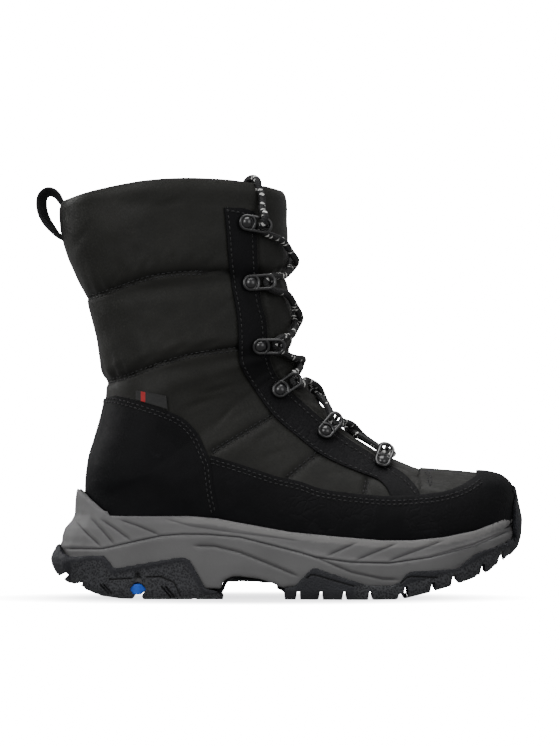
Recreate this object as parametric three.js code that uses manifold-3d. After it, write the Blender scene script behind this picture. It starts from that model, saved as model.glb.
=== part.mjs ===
// A laced snow boot for the right foot, standing empty on its sole. Millimetres, +Z up, toe towards +X.
// The outer side of the foot is towards -Y. The origin is on the floor, at the middle of the heel's flat spot.
import * as THREE from "three";
import { mergeVertices } from "three/addons/utils/BufferGeometryUtils.js";
import Module from "manifold-3d";

const wasm = await Module();
wasm.setup();

// Driving sizes of the sole
const SOLE_LENGTH = 290;
const SOLE_WIDTH = 105.6;
const SOLE_HEIGHT = 51;
const SOLE_HEEL_ROUND = 40;
const SOLE_TOE_ROUND = 73;
const TREAD_GROOVE = 3.6;
const GROOVE_WIDTH = 2.4;
const TREAD_BAND = 13;
const SHANK_WIDTH = 40;
const SHANK_THICKNESS = 2.2;
const GRIP_WIDTH = 9.2;
const GRIP_HEIGHT = 7.4;

// Driving sizes of the upper
const BOOT_HEIGHT = 260;
const BALL_WIDTH = 96;
const UPPER_TOE_ROUND = 72;
const WALL = 3;
const OVERLAY = 1.2;
const TONGUE_THICKNESS = 3;
const TONGUE_FLANGE = 7;
const INSOLE_THICKNESS = 4;
const TAG_THICKNESS = 0.8;
const STRAP_WIDTH = 16;
const STRAP_THICKNESS = 2.2;

// Driving sizes of the lacing
const LACE = 4.4;
const RING_LENGTH = 20;
const RING_WIDTH = 10.5;
const RING_THICKNESS = 2;
const RING_HOLE = 7;
const RIVET_RADIUS = 3.7;
const RIVET_DOME = 2;

// Gap left between two pieces that touch on the real boot
const GAP = 0.3;

// Where the origin lies along the sole, and how high the ball of the foot stands, as shares
const HEEL_SPOT = 0.2247;
const BALL_STACK = 0.715;

const MESH_PAIR = 0.0001;
const FAR = 400;

const along = (share) => (share - HEEL_SPOT) * SOLE_LENGTH;
const low = (share) => share * SOLE_HEIGHT;
const rise = (share) => low(BALL_STACK) + share * (BOOT_HEIGHT - low(BALL_STACK));

// A table is a list of column names and its rows. This reads one column at a place, smoothly and with no overshoot.
function table(columns, rows) {
  const keys = rows.map((row) => row[0]);
  const slopes = {};
  columns.forEach((name, c) => {
    if (c === 0) return;
    const steps = keys.slice(1).map((key, i) => (rows[i + 1][c] - rows[i][c]) / (key - keys[i]));
    slopes[name] = keys.map((key, i) => {
      if (i === 0) return steps[0];
      if (i === keys.length - 1) return steps[i - 1];
      const before = steps[i - 1];
      const after = steps[i];
      return before * after <= 0 ? 0 : (2 * before * after) / (before + after);
    });
  });
  return (name, at) => {
    const c = columns.indexOf(name);
    const place = Math.min(Math.max(at, keys[0]), keys[keys.length - 1]);
    let i = 0;
    while (i < keys.length - 2 && place > keys[i + 1]) i += 1;
    const span = keys[i + 1] - keys[i];
    const s = (place - keys[i]) / span;
    const rest = 1 - s;
    return (
      rows[i][c] * (1 + 2 * s) * rest * rest +
      rows[i + 1][c] * s * s * (3 - 2 * s) +
      slopes[name][i] * span * s * rest * rest -
      slopes[name][i + 1] * span * s * s * rest
    );
  };
}

// Solids

function solid(points, faces) {
  const kept = faces.filter(([a, b, c]) => a !== b && b !== c && c !== a);
  const build = (list) =>
    new wasm.Manifold(
      new wasm.Mesh({
        numProp: 3,
        vertProperties: new Float32Array(points.flat()),
        triVerts: new Uint32Array(list.flat()),
      }),
    );
  const made = build(kept);
  return made.volume() > 0 ? made : build(kept.map(([a, b, c]) => [a, c, b]));
}

// Collects corners and gives the same number to corners that coincide
function cornerList() {
  const points = [];
  const seen = new Map();
  const add = (x, y, z) => {
    const key = [x, y, z].map((value) => Math.round(value / MESH_PAIR)).join();
    if (!seen.has(key)) {
      seen.set(key, points.length);
      points.push([x, y, z]);
    }
    return seen.get(key);
  };
  return { points, add };
}

function fromGeometry(geometry) {
  const bare = geometry.clone();
  bare.deleteAttribute("normal");
  bare.deleteAttribute("uv");
  const merged = mergeVertices(bare, MESH_PAIR);
  const places = merged.attributes.position;
  const points = [];
  for (let i = 0; i < places.count; i += 1) points.push([places.getX(i), places.getY(i), places.getZ(i)]);
  const index = Array.from(merged.index.array);
  const faces = [];
  for (let i = 0; i < index.length; i += 3) faces.push([index[i], index[i + 1], index[i + 2]]);
  return solid(points, faces);
}

function toGeometry(made) {
  const mesh = made.getMesh();
  const geometry = new THREE.BufferGeometry();
  const places = new Float32Array(mesh.numVert * 3);
  for (let i = 0; i < mesh.numVert; i += 1) {
    for (let c = 0; c < 3; c += 1) places[3 * i + c] = mesh.vertProperties[mesh.numProp * i + c];
  }
  geometry.setAttribute("position", new THREE.BufferAttribute(places, 3));
  geometry.setIndex(new THREE.BufferAttribute(new Uint32Array(mesh.triVerts), 1));
  geometry.computeVertexNormals();
  return geometry;
}

// A side view outline, in millimetres along X and Z, drawn out across the boot from one Y to the other
function prism(outline, from, to) {
  const shape = new THREE.Shape(outline.map(([x, z]) => new THREE.Vector2(x, z)));
  const geometry = new THREE.ExtrudeGeometry(shape, { depth: to - from, bevelEnabled: false });
  geometry.rotateX(Math.PI / 2);
  geometry.translate(0, to, 0);
  return fromGeometry(geometry);
}

const block = (x0, x1, y0, y1, z0, z1) => {
  const geometry = new THREE.BoxGeometry(x1 - x0, y1 - y0, z1 - z0);
  geometry.translate((x0 + x1) / 2, (y0 + y1) / 2, (z0 + z1) / 2);
  return fromGeometry(geometry);
};

// Keeps the main body where a cut leaves a crumb
const mainBody = (made) =>
  made.decompose().reduce((best, next) => (next.volume() > best.volume() ? next : best));

const union = (list) => list.slice(1).reduce((sum, next) => sum.add(next), list[0]);

// The upper's last. Each row is a section that runs from the feather line, or from the back of the shaft, to the
// ridge at the front. at and ridge are shares of SOLE_LENGTH, lift and rise go up the boot, half, seat, lean and
// crest are shares of BALL_WIDTH, belly and full shape the section, and bow arches it as a share of its own length.
const SECTION_COLUMNS = [
  "row", "at", "lift", "ridge", "rise", "half", "seat", "belly", "full", "lean", "crest", "bow",
];
const SECTION_ROWS = [
  [0, 0.97, 0.04, 0.97, 0.104, 0.5, 0.46, 0.38, 0.25, 0.055, 0.055, 0],
  [1, 0.9665, 0.04, 0.9665, 0.136, 0.5, 0.46, 0.38, 0.25, 0.055, 0.055, 0],
  [2, 0.958, 0.04, 0.958, 0.152, 0.5, 0.46, 0.38, 0.25, 0.053, 0.053, 0],
  [3, 0.942, 0.04, 0.942, 0.166, 0.5, 0.46, 0.38, 0.25, 0.05, 0.05, 0],
  [4, 0.917, 0.03, 0.917, 0.177, 0.5, 0.46, 0.38, 0.25, 0.045, 0.045, 0],
  [5, 0.883, 0.01, 0.883, 0.182, 0.5, 0.462, 0.37, 0.22, 0.036, 0.04, 0],
  [6, 0.84, 0, 0.84, 0.187, 0.5, 0.464, 0.36, 0.18, 0.024, 0.036, 0],
  [7, 0.79, -0.01, 0.79, 0.193, 0.5, 0.466, 0.35, 0.12, 0.01, 0.034, 0],
  [8, 0.735, -0.015, 0.742, 0.214, 0.5, 0.47, 0.33, 0.06, 0, 0.034, 0],
  [9, 0.675, -0.01, 0.69, 0.245, 0.495, 0.465, 0.31, 0.02, -0.008, 0.034, 0],
  [10, 0.61, -0.005, 0.636, 0.29, 0.478, 0.44, 0.3, 0, -0.012, 0.03, 0],
  [11, 0.545, 0, 0.6, 0.335, 0.45, 0.405, 0.3, 0, -0.012, 0.026, 0],
  [12, 0.475, 0.01, 0.571, 0.378, 0.425, 0.37, 0.32, 0.02, -0.008, 0.022, 0],
  [13, 0.4, 0.03, 0.5525, 0.409, 0.408, 0.345, 0.34, 0.05, -0.004, 0.018, 0],
  [14, 0.32, 0.045, 0.5375, 0.437, 0.398, 0.338, 0.34, 0.08, 0, 0.014, 0],
  [15, 0.24, 0.048, 0.5295, 0.455, 0.394, 0.335, 0.33, 0.1, 0, 0.012, 0],
  [16, 0.17, 0.048, 0.525, 0.468, 0.392, 0.328, 0.32, 0.12, 0, 0.01, 0],
  [17, 0.118, 0.048, 0.5215, 0.48, 0.39, 0.272, 0.31, 0.12, 0, 0.008, 0],
  [18, 0.0905, 0.048, 0.519, 0.488, 0.388, 0.171, 0.31, 0.12, 0, 0.006, 0],
  [19, 0.0795, 0.048, 0.5183, 0.4915, 0.387, 0.085, 0.31, 0.12, 0, 0.004, 0],
  [20, 0.076, 0.048, 0.5178, 0.494, 0.386, 0, 0.31, 0.12, 0, 0.003, 0],
  [21, 0.0735, 0.107, 0.517, 0.499, 0.385, 0, 0.32, 0.12, 0, 0, 0],
  [22, 0.0775, 0.179, 0.516, 0.504, 0.385, 0, 0.34, 0.1, 0, 0, 0],
  [23, 0.089, 0.251, 0.5145, 0.51, 0.388, 0, 0.37, 0.1, 0, 0, 0],
  [24, 0.1035, 0.322, 0.513, 0.515, 0.392, 0, 0.4, 0.1, 0, 0, 0],
  [25, 0.1135, 0.38, 0.5115, 0.521, 0.4, 0, 0.43, 0.1, 0, 0, 0],
  [26, 0.1145, 0.427, 0.509, 0.529, 0.398, 0, 0.45, 0.1, 0, 0, 0],
  [27, 0.105, 0.472, 0.513, 0.557, 0.42, 0, 0.48, 0.1, 0, 0, 0],
  [28, 0.093, 0.562, 0.5115, 0.622, 0.432, 0, 0.48, 0.1, 0, 0, 0],
  [29, 0.08, 0.628, 0.506, 0.684, 0.434, 0, 0.48, 0.1, 0, 0, 0],
  [30, 0.0735, 0.667, 0.498, 0.73, 0.424, 0, 0.48, 0.1, 0, 0, 0],
  [31, 0.058, 0.712, 0.504, 0.77, 0.455, 0, 0.48, 0.1, 0, 0, 0],
  [32, 0.032, 0.796, 0.5025, 0.832, 0.472, 0, 0.48, 0.1, 0, 0, 0.01],
  [33, 0.0195, 0.868, 0.502, 0.9, 0.478, 0, 0.48, 0.1, 0, 0, 0.035],
  [34, 0.0185, 0.912, 0.5, 0.945, 0.474, 0, 0.48, 0.1, 0, 0, 0.06],
  [35, 0.0235, 0.931, 0.494, 0.962, 0.458, 0, 0.48, 0.1, 0, 0, 0.075],
];
const section = table(SECTION_COLUMNS, SECTION_ROWS);
const HEEL_ROW = 20;
const LAST_ROW = SECTION_ROWS.length - 1;
const TOE_TIP = SECTION_ROWS[0][1];

// The feather line, where the upper's bottom edge lies in the sole: shares of SOLE_LENGTH and SOLE_HEIGHT
const feather = table(
  ["at", "height"],
  [
    [0.07, 0.927], [0.295, 0.927], [0.352, 0.902], [0.401, 0.848], [0.508, 0.739], [0.606, 0.686],
    [0.704, 0.642], [0.768, 0.642], [0.834, 0.679], [0.9, 0.752], [0.949, 0.848], [0.973, 0.909],
  ],
);

const roundEnd = (distance, radius, power) => {
  if (distance >= radius) return 1;
  return Math.sqrt(Math.max(0, 1 - (1 - distance / radius) ** power));
};

// How far the sections are lifted just above the feather line round the heel, so that the wall stands upright
// there: shares of SOLE_HEIGHT
const skirt = table(
  ["row", "height"],
  [
    [14, 0], [15, 0.02], [16, 0.06], [17, 0.13], [18, 0.22], [19, 0.32], [20, 0.44], [21, 0.36], [22, 0.2],
    [23, 0.08], [24, 0],
  ],
);

// A point of the upper's outer surface: u runs through the sections, v from -1 on the outer side through 0 at the
// ridge to 1 on the inner side of the foot
function upperPoint(u, v) {
  const read = (name) => section(name, u);
  const at = read("at");
  const reach = roundEnd((TOE_TIP - at) * SOLE_LENGTH, UPPER_TOE_ROUND, 2.2);
  const half = read("half") * BALL_WIDTH * reach;
  const seat = u >= HEEL_ROW ? 0 : read("seat") * BALL_WIDTH * reach;
  const tuck = half > 0 ? 1 - seat / half : 0;
  const full = read("full");
  const belly = read("belly");
  const w = Math.abs(v);
  let eta;
  let zeta;
  let raised = 0;
  if (w < 0.5) {
    const turn = (1 - w / 0.5) * (Math.PI / 2);
    eta = Math.cos(turn) * (1 + full * Math.sin(turn) ** 2);
    zeta = belly + (1 - belly) * Math.sin(turn);
  } else {
    const share = w / 0.5 - 1;
    const turn = share * (Math.PI / 2);
    const closed = tuck * tuck;
    eta = 1 - tuck * (1 - Math.cos(turn) * (1 + full * Math.sin(turn) ** 2));
    zeta = belly * (1 - (1 - closed) * share - closed * Math.sin(turn));
    raised = low(skirt("height", u)) * 1.3 * share * (1 - share ** 6);
  }
  const foot = u < HEEL_ROW ? low(feather("height", at)) : rise(read("lift"));
  const heelFoot = low(feather("height", section("at", HEEL_ROW)));
  const base = u < HEEL_ROW + 1 && u >= HEEL_ROW
    ? heelFoot + (foot - rise(section("lift", HEEL_ROW))) : foot;
  const backX = along(at);
  const ridgeX = along(read("ridge"));
  const ridgeZ = rise(read("rise"));
  const bow = read("bow") * 4 * zeta * (1 - zeta);
  const x = backX + (ridgeX - backX) * zeta - (ridgeZ - base) * bow;
  const z = base + (ridgeZ - base) * zeta + (ridgeX - backX) * bow + raised;
  const middle = (read("lean") * (1 - zeta) + read("crest") * zeta) * BALL_WIDTH;
  return new THREE.Vector3(x, middle + Math.sign(v) * half * eta, z);
}

function upperNormal(u, v) {
  const du = 0.03;
  const dv = 0.01;
  const u0 = Math.min(Math.max(u, 2 * du), LAST_ROW - du);
  const v0 = Math.min(Math.max(v, -1 + dv), 1 - dv);
  const alongU = upperPoint(u0 + du, v0).sub(upperPoint(u0 - du, v0));
  const alongV = upperPoint(u0, v0 + dv).sub(upperPoint(u0, v0 - dv));
  const normal = alongV.cross(alongU).normalize();
  const onEdge = Math.abs(v) === 1;
  if (u === 0 || (onEdge && u >= HEEL_ROW)) normal.y = 0;
  if (onEdge && u <= HEEL_ROW) normal.z = 0;
  return normal.normalize();
}

const offsetPoint = (u, v, offset) => upperPoint(u, v).addScaledVector(upperNormal(u, v), offset);

// How finely a form is made: equal steps from the ridge to the belly, and closer ones down to the edge
const UPPER_STEPS = 4;
const LOWER_SHARES = [0.4, 0.75, 1];
const HALF_COLUMNS = [
  ...Array.from({ length: UPPER_STEPS }, (unused, j) => (0.5 * (j + 1)) / UPPER_STEPS),
  ...LOWER_SHARES.map((share) => 0.5 + 0.5 * share),
];
const FORM_ROWS = [
  0, 1, 2, 3.5, 5, 6.5, 8, 9, 10, 11, 12, 13, 14.5, 16, 17, 18, 19, 20, 21, 22.5, 24, 25.5, 26.5, 27.5, 29, 30, 31,
  32, 33.5, 35,
];
const COLUMNS = [...HALF_COLUMNS.map((v) => -v).reverse(), 0, ...HALF_COLUMNS];

// The whole last, grown or shrunk by an offset and closed below and at the collar. drop lowers its bottom and lift
// raises its top, for a form that cuts.
function form(offset, drop = 0, lift = 0) {
  const { points, add } = cornerList();
  const rings = [];
  for (const u of FORM_ROWS) {
    const ring = COLUMNS.map((v) => {
      const p = offsetPoint(u, v, offset);
      return u === 0 ? [p.x, section("lean", 0) * BALL_WIDTH, p.z] : [p.x, p.y, p.z];
    });
    const fall = u < HEEL_ROW ? drop : 0;
    const [x0, y0, z0] = ring[0];
    const [x1, y1, z1] = ring[ring.length - 1];
    ring.unshift([x0, y0, z0 - fall]);
    ring.push([x1, y1, z1 - fall]);
    rings.push(ring);
  }
  if (lift > 0) rings.push(rings[rings.length - 1].map(([x, y, z]) => [x, y, z + lift]));
  const grid = rings.map((ring) => ring.map(([x, y, z]) => add(x, y, z)));
  const wide = grid[0].length - 1;
  const faces = [];
  const quad = (a, b, c, d) => faces.push([a, b, c], [a, c, d]);
  for (let i = 0; i < grid.length - 1; i += 1) {
    for (let j = 0; j < wide / 2; j += 1) {
      const k = wide - j;
      quad(grid[i][j], grid[i][j + 1], grid[i + 1][j + 1], grid[i + 1][j]);
      quad(grid[i][k], grid[i + 1][k], grid[i + 1][k - 1], grid[i][k - 1]);
    }
    quad(grid[i][wide], grid[i][0], grid[i + 1][0], grid[i + 1][wide]);
  }
  const top = grid[grid.length - 1];
  for (let j = 0; j < Math.floor(wide / 2); j += 1) quad(top[j], top[j + 1], top[wide - j - 1], top[wide - j]);
  return solid(points, faces);
}

// Finds the place on the upper that shows at a point of the side view, and gives its point and directions
function onSide(x, z, side, offset) {
  let best = [0, 0];
  let least = Infinity;
  for (let i = 8; i <= LAST_ROW * 2; i += 1) {
    for (let j = 1; j < 20; j += 1) {
      const p = offsetPoint(i / 2, (side * j) / 20, offset);
      const far = (p.x - x) ** 2 + (p.z - z) ** 2;
      if (far < least) {
        least = far;
        best = [i / 2, (side * j) / 20];
      }
    }
  }
  let [u, v] = best;
  const step = 0.01;
  for (let n = 0; n < 12; n += 1) {
    const p = offsetPoint(u, v, offset);
    const pu = offsetPoint(u + step, v, offset).sub(p).divideScalar(step);
    const pv = offsetPoint(u, v + step, offset).sub(p).divideScalar(step);
    const det = pu.x * pv.z - pv.x * pu.z;
    const ex = x - p.x;
    const ez = z - p.z;
    u = Math.min(Math.max(u + (ex * pv.z - ez * pv.x) / det, 0.1), LAST_ROW);
    v += (ez * pu.x - ex * pu.z) / det;
    v = side * Math.min(Math.max(side * v, 0.02), 0.98);
  }
  return { point: offsetPoint(u, v, offset), normal: upperNormal(u, v), u, v };
}

// Outlines in the side view, each point a share along the sole and a share up the boot
const outline = (rows) => rows.map(([x, z]) => [along(x), rise(z)]);

const THROAT_EDGE = [
  [0.446, 1.1], [0.44, 0.934], [0.44, 0.796], [0.448, 0.658], [0.459, 0.603], [0.464, 0.518], [0.482, 0.452],
  [0.54, 0.377], [0.614, 0.295], [0.678, 0.24], [0.738, 0.193], [0.768, 0.174],
];
const THROAT_END = [[0.784, 0.172], [0.793, 0.26], [0.793, 1.1]];
const EYESTAY_REAR = [
  [0.367, 0.921], [0.373, 0.851], [0.377, 0.777], [0.385, 0.692], [0.396, 0.613], [0.399, 0.545], [0.401, 0.485],
  [0.433, 0.41], [0.473, 0.34], [0.521, 0.285], [0.578, 0.229], [0.649, 0.186], [0.697, 0.161], [0.718, 0.128],
];
const EYESTAY_FRONT = [
  [0.78, 0.132], [0.757, 0.168], [0.733, 0.19], [0.674, 0.236], [0.61, 0.291], [0.536, 0.373], [0.478, 0.448],
  [0.46, 0.518], [0.455, 0.603], [0.444, 0.658], [0.436, 0.796], [0.434, 0.905],
];
const MUDGUARD_TOP = [
  [0.9, 0.2], [0.908, 0.174], [0.883, 0.152], [0.834, 0.13], [0.785, 0.122], [0.72, 0.118], [0.655, 0.124],
  [0.573, 0.14], [0.529, 0.16], [0.481, 0.174], [0.404, 0.207], [0.338, 0.233],
];
const COUNTER_JOINT = [[0.342, 0.207], [0.346, 0.152], [0.361, 0.061], [0.363, -0.1]];
const COUNTER_TOP = [
  [0, 0.403], [0.099, 0.401], [0.139, 0.397], [0.182, 0.383], [0.247, 0.355], [0.282, 0.333], [0.31, 0.296],
  [0.33, 0.244],
];
const TAG_OUTLINE = [[0.184, 0.381], [0.184, 0.41], [0.246, 0.396], [0.249, 0.357]];

const featherLine = (from, to, steps, lift) => {
  const line = [];
  for (let i = 0; i <= steps; i += 1) {
    const at = from + ((to - from) * i) / steps;
    line.push([along(at), low(feather("height", at)) + lift]);
  }
  return line;
};
const FEATHER_STEPS = 18;
const overFeather = (drop) => prism(
  [...featherLine(-0.1, 1.1, FEATHER_STEPS, -drop), [along(1.1), FAR], [along(-0.1), FAR]], -FAR, FAR);

const skinNear = GAP;
const skinFar = GAP + OVERLAY;
const last = form(0, 8).intersect(overFeather(0));
const shell = last.subtract(form(-WALL, 16, 8));
const skin = form(skinFar, 8).intersect(overFeather(0)).subtract(form(skinNear, 16, 8));

// The seat in the sole that the lasted upper lies in
const recess = form(skinFar + GAP, 8).intersect(overFeather(GAP));

const throat = prism([...outline(THROAT_EDGE), ...outline(THROAT_END)], -FAR, FAR);
const upper = shell.subtract(throat);

// Moves each point of a side view line along its own normal, towards its left
function shiftLine(line, distance) {
  return line.map(([x, z], i) => {
    const [x0, z0] = line[Math.max(i - 1, 0)];
    const [x1, z1] = line[Math.min(i + 1, line.length - 1)];
    const size = Math.hypot(x1 - x0, z1 - z0);
    return [x - ((z1 - z0) / size) * distance, z + ((x1 - x0) / size) * distance];
  });
}

// The tongue fills the throat and its flange lies behind the upper's edges
const throatEdge = outline(THROAT_EDGE);
const throatEnd = outline(THROAT_END);
const padOutline = [
  ...shiftLine(throatEdge, 0.5), ...throatEnd.map(([x, z]) => [x - 0.8, z + 0.6]),
];
const flangeOutline = [
  ...shiftLine(throatEdge, -TONGUE_FLANGE), [along(0.81), rise(0.12)], [along(0.83), rise(0.26)],
  [along(0.83), rise(1.1)],
];
const padCut = prism(padOutline, -FAR, FAR);
const aroundPad = form(2).subtract(form(-WALL - GAP, 8, 8)).subtract(padCut);
const tongue = mainBody(
  form(-0.2)
    .subtract(form(-WALL - GAP - TONGUE_THICKNESS, 8, 8))
    .intersect(prism(flangeOutline, -FAR, FAR))
    .subtract(aroundPad),
);

const counterOutline = outline([...COUNTER_TOP, ...COUNTER_JOINT, [0, -0.1]]);
const mudguardOutline = outline([
  ...MUDGUARD_TOP, ...COUNTER_JOINT, [1.05, -0.1], [1.05, 0.2],
]);
const counterCut = prism(counterOutline, -FAR, FAR);
const heelCounter = skin.intersect(counterCut);
const mudguard = skin.intersect(prism(mudguardOutline, -FAR, FAR)).subtract(
  prism(shiftLine(outline([...COUNTER_TOP.slice(-2), ...COUNTER_JOINT]), GAP).concat(
    [[along(0), rise(-0.1)], [along(0), rise(0.4)]]), -FAR, FAR));
const eyestayOutline = outline([...EYESTAY_REAR, ...EYESTAY_FRONT]);
const eyestay = (from, to) => skin.intersect(prism(eyestayOutline, from, to));

// The insole lies on the sole's seat, inside the upper
const insoleOutline = [
  ...featherLine(-0.1, 1.1, FEATHER_STEPS, 0),
  ...featherLine(-0.1, 1.1, FEATHER_STEPS, INSOLE_THICKNESS).reverse(),
];
const insole = form(-WALL - 2 * GAP, 8).intersect(prism(insoleOutline, -FAR, FAR));

// The sole is made of rings. A station t runs from the back of the heel to the tip of the toe. Heights are shares
// of SOLE_HEIGHT, and outs are millimetres outside the sole's own plan outline.
const PLAN_BACK = 0.021;
const PLAN_TIP = 0.983;
const plan = table(
  ["t", "half", "lean"],
  [
    [0, 0.379, 0], [0.2, 0.379, 0], [0.3, 0.38, 0], [0.4, 0.386, -0.004], [0.5, 0.41, -0.01],
    [0.6, 0.468, -0.01], [0.7, 0.494, -0.004], [0.8, 0.5, 0.009], [0.88, 0.5, 0.024], [0.95, 0.5, 0.04],
    [1, 0.5, 0.05],
  ],
);
const carrier = table(
  ["t", "top", "topOut", "bevelOut", "ridge", "bottom", "bottomOut"],
  [
    [0, 1.32, -12, -7, 0.63, 0.29, -3], [0.04, 1.22, -9, -5.5, 0.612, 0.218, -2.6],
    [0.08, 1.08, -6.2, -4, 0.606, 0.158, -2.2], [0.12, 1.02, -4.6, -3, 0.636, 0.127, -2],
    [0.2, 1, -3.6, -2.2, 0.739, 0.127, -2], [0.3, 0.994, -3.4, -2, 0.784, 0.127, -2],
    [0.4, 0.918, -3.2, -1.9, 0.748, 0.127, -3], [0.5, 0.818, -3, -1.8, 0.612, 0.141, -2.4],
    [0.6, 0.764, -2.8, -1.7, 0.485, 0.158, -2], [0.7, 0.719, -2.6, -1.6, 0.445, 0.158, -2],
    [0.8, 0.724, -2.6, -1.6, 0.497, 0.182, -2], [0.88, 0.782, -2.4, -1.4, 0.594, 0.255, -2],
    [0.95, 0.897, -1.6, -1, 0.727, 0.424, -1.6], [1, 1.012, -0.3, -0.2, 0.836, 0.618, -1.2],
  ],
);
const rubber = table(
  ["t", "top", "topOut", "bump", "bumpOut", "low", "lowOut", "edge", "edgeOut"],
  [
    [0, 0.66, 0.6, 0.5, 5.8, 0.285, 0.6, 0.206, -4], [0.04, 0.64, 0.8, 0.47, 3.6, 0.21, 1, 0.133, -2.5],
    [0.08, 0.62, 1, 0.42, 2, 0.13, 1, 0.0485, -1.2], [0.12, 0.61, 1.2, 0.4, 1.5, 0.1, 1.2, 0.018, -0.6],
    [0.155, 0.61, 1.2, 0.4, 1.4, 0.09, 1.2, 0, -0.4], [0.5, 0.61, 1.2, 0.4, 1.4, 0.09, 1.2, 0, -0.4],
    [0.735, 0.61, 1.2, 0.4, 1.4, 0.09, 1.2, 0, -0.4], [0.8, 0.61, 1.2, 0.42, 1.4, 0.15, 1.2, 0.061, -0.4],
    [0.88, 0.66, 1.2, 0.46, 1.4, 0.24, 1.2, 0.152, -0.4], [0.95, 0.9, 1, 0.56, 1.6, 0.36, 1.2, 0.255, -0.4],
    [1, 1.37, 0.3, 0.95, 5, 0.62, 2, 0.49, -0.6],
  ],
);

// A point of the plan outline, moved out along its normal
function planPoint(t, side, out) {
  const spot = (place) => {
    const x = along(PLAN_BACK + place * (PLAN_TIP - PLAN_BACK));
    const fromBack = x - along(PLAN_BACK);
    const fromTip = along(PLAN_TIP) - x;
    const half = plan("half", place) * SOLE_WIDTH
      * roundEnd(fromBack, SOLE_HEEL_ROUND, 2) * roundEnd(fromTip, SOLE_TOE_ROUND, 2.2);
    return [x, plan("lean", place) * SOLE_WIDTH + side * half];
  };
  const [x, y] = spot(t);
  if (t === 0) return [x - out, y];
  if (t === 1) return [x + out, y];
  const reach = Math.min(0.004, t / 2, (1 - t) / 2);
  const [x0, y0] = spot(t - reach);
  const [x1, y1] = spot(t + reach);
  const size = Math.hypot(x1 - x0, y1 - y0);
  return [x - (side * (y1 - y0) * out) / size, y + (side * (x1 - x0) * out) / size];
}

const STATIONS = 21;

// A closed body of rings, one for each level, from the bottom up
function ringBody(levels) {
  const { points, add } = cornerList();
  const rings = levels.map(({ height, out }) => {
    const sides = [-1, 1].map((side) => {
      const list = [];
      for (let i = 0; i <= STATIONS; i += 1) {
        const t = (1 - Math.cos((Math.PI * i) / STATIONS)) / 2;
        const [x, y] = planPoint(t, side, out(t));
        list.push(add(x, y, low(height(t))));
      }
      return list;
    });
    return sides;
  });
  const faces = [];
  const quad = (a, b, c, d) => faces.push([a, b, c], [a, c, d]);
  for (let i = 0; i < STATIONS; i += 1) {
    for (let level = 0; level < rings.length - 1; level += 1) {
      const [outer, inner] = rings[level];
      const [outerUp, innerUp] = rings[level + 1];
      quad(outer[i], outer[i + 1], outerUp[i + 1], outerUp[i]);
      quad(inner[i + 1], inner[i], innerUp[i], innerUp[i + 1]);
    }
    const [outer, inner] = rings[0];
    quad(outer[i + 1], outer[i], inner[i], inner[i + 1]);
    const [outerTop, innerTop] = rings[rings.length - 1];
    quad(outerTop[i], outerTop[i + 1], innerTop[i + 1], innerTop[i]);
  }
  return solid(points, faces);
}

// The carrier body: a ridge runs along its side, with a step over it and a bevel under the lip
const STEP_IN = 1.3;
const STEP_RISE = 0.025;
const carrierBody = (grow, down) => ringBody([
  { height: (t) => carrier("bottom", t) - down, out: (t) => carrier("bottomOut", t) + grow },
  {
    height: (t) => 0.55 * carrier("bottom", t) + 0.45 * carrier("ridge", t),
    out: () => -0.6 + grow,
  },
  { height: (t) => carrier("ridge", t), out: () => grow },
  { height: (t) => carrier("ridge", t) + STEP_RISE, out: () => -STEP_IN + grow },
  {
    height: (t) => 0.3 * carrier("ridge", t) + 0.7 * carrier("top", t),
    out: (t) => carrier("bevelOut", t) + grow,
  },
  { height: (t) => carrier("top", t), out: (t) => carrier("topOut", t) + grow },
]);
const rubberBody = ringBody([
  { height: (t) => rubber("edge", t), out: (t) => rubber("edgeOut", t) },
  { height: (t) => rubber("low", t), out: (t) => rubber("lowOut", t) },
  { height: (t) => rubber("bump", t), out: (t) => rubber("bumpOut", t) },
  { height: (t) => rubber("top", t), out: (t) => rubber("topOut", t) },
]);

const soleOutline = (rows) => rows.map(([x, z]) => [along(x), low(z)]);

// The line along which the rubber ends on the carrier's side, from the heel over the arch to the toe bumper
const RUBBER_LINE = [
  [0.019, 0.659], [0.026, 0.55], [0.042, 0.502], [0.073, 0.521], [0.114, 0.541], [0.119, 0.502], [0.135, 0.376],
  [0.201, 0.442], [0.28, 0.518], [0.296, 0.481], [0.329, 0.127], [0.352, 0.1], [0.366, 0.02], [0.49, 0.02],
  [0.496, 0.141], [0.518, 0.158], [0.554, 0.383], [0.567, 0.379], [0.671, 0.175], [0.717, 0.166], [0.74, 0.212],
  [0.755, 0.315], [0.769, 0.352], [0.859, 0.333], [0.867, 0.342], [0.899, 0.509], [0.964, 0.621], [0.982, 0.695],
  [0.982, 1.273], [0.974, 1.362], [1.1, 1.362], [1.1, -0.5], [-0.1, -0.5], [-0.1, 0.659],
];
const ARCH_LINE = [
  [0.362, 0.127], [0.367, 0.225], [0.384, 0.275], [0.401, 0.279], [0.446, 0.245], [0.471, 0.194], [0.492, 0.141],
];
const SHANK_ENDS = [[0.342, 0.12], [0.525, 0.134]];
const ARCH_LUGS = [[0.395, 0.427, 0.09, 0.25], [0.455, 0.475, 0.06, 0.165]];
const FOREFOOT_GROOVES = [0.524, 0.571, 0.624, 0.677, 0.742, 0.81, 0.858, 0.909, 0.956];
const HEEL_GROOVES = [0.064, 0.1, 0.305];

const GRIP_AT = 0.185;
const GRIP_LEVEL = 0.121;
const GRIP_SLOT = 4.2;

// The grip insert lies in a channel of the same outline across the heel
const gripOutline = (grow) => {
  const wide = GRIP_WIDTH / 2 + grow;
  const tall = GRIP_HEIGHT / 2 + grow;
  const x = along(GRIP_AT);
  const z = low(GRIP_LEVEL);
  return [
    [x - wide, z], [x - wide * 0.35, z - tall], [x + wide * 0.35, z - tall],
    [x + wide, z], [x + wide * 0.35, z + tall], [x - wide * 0.35, z + tall],
  ];
};

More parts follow.
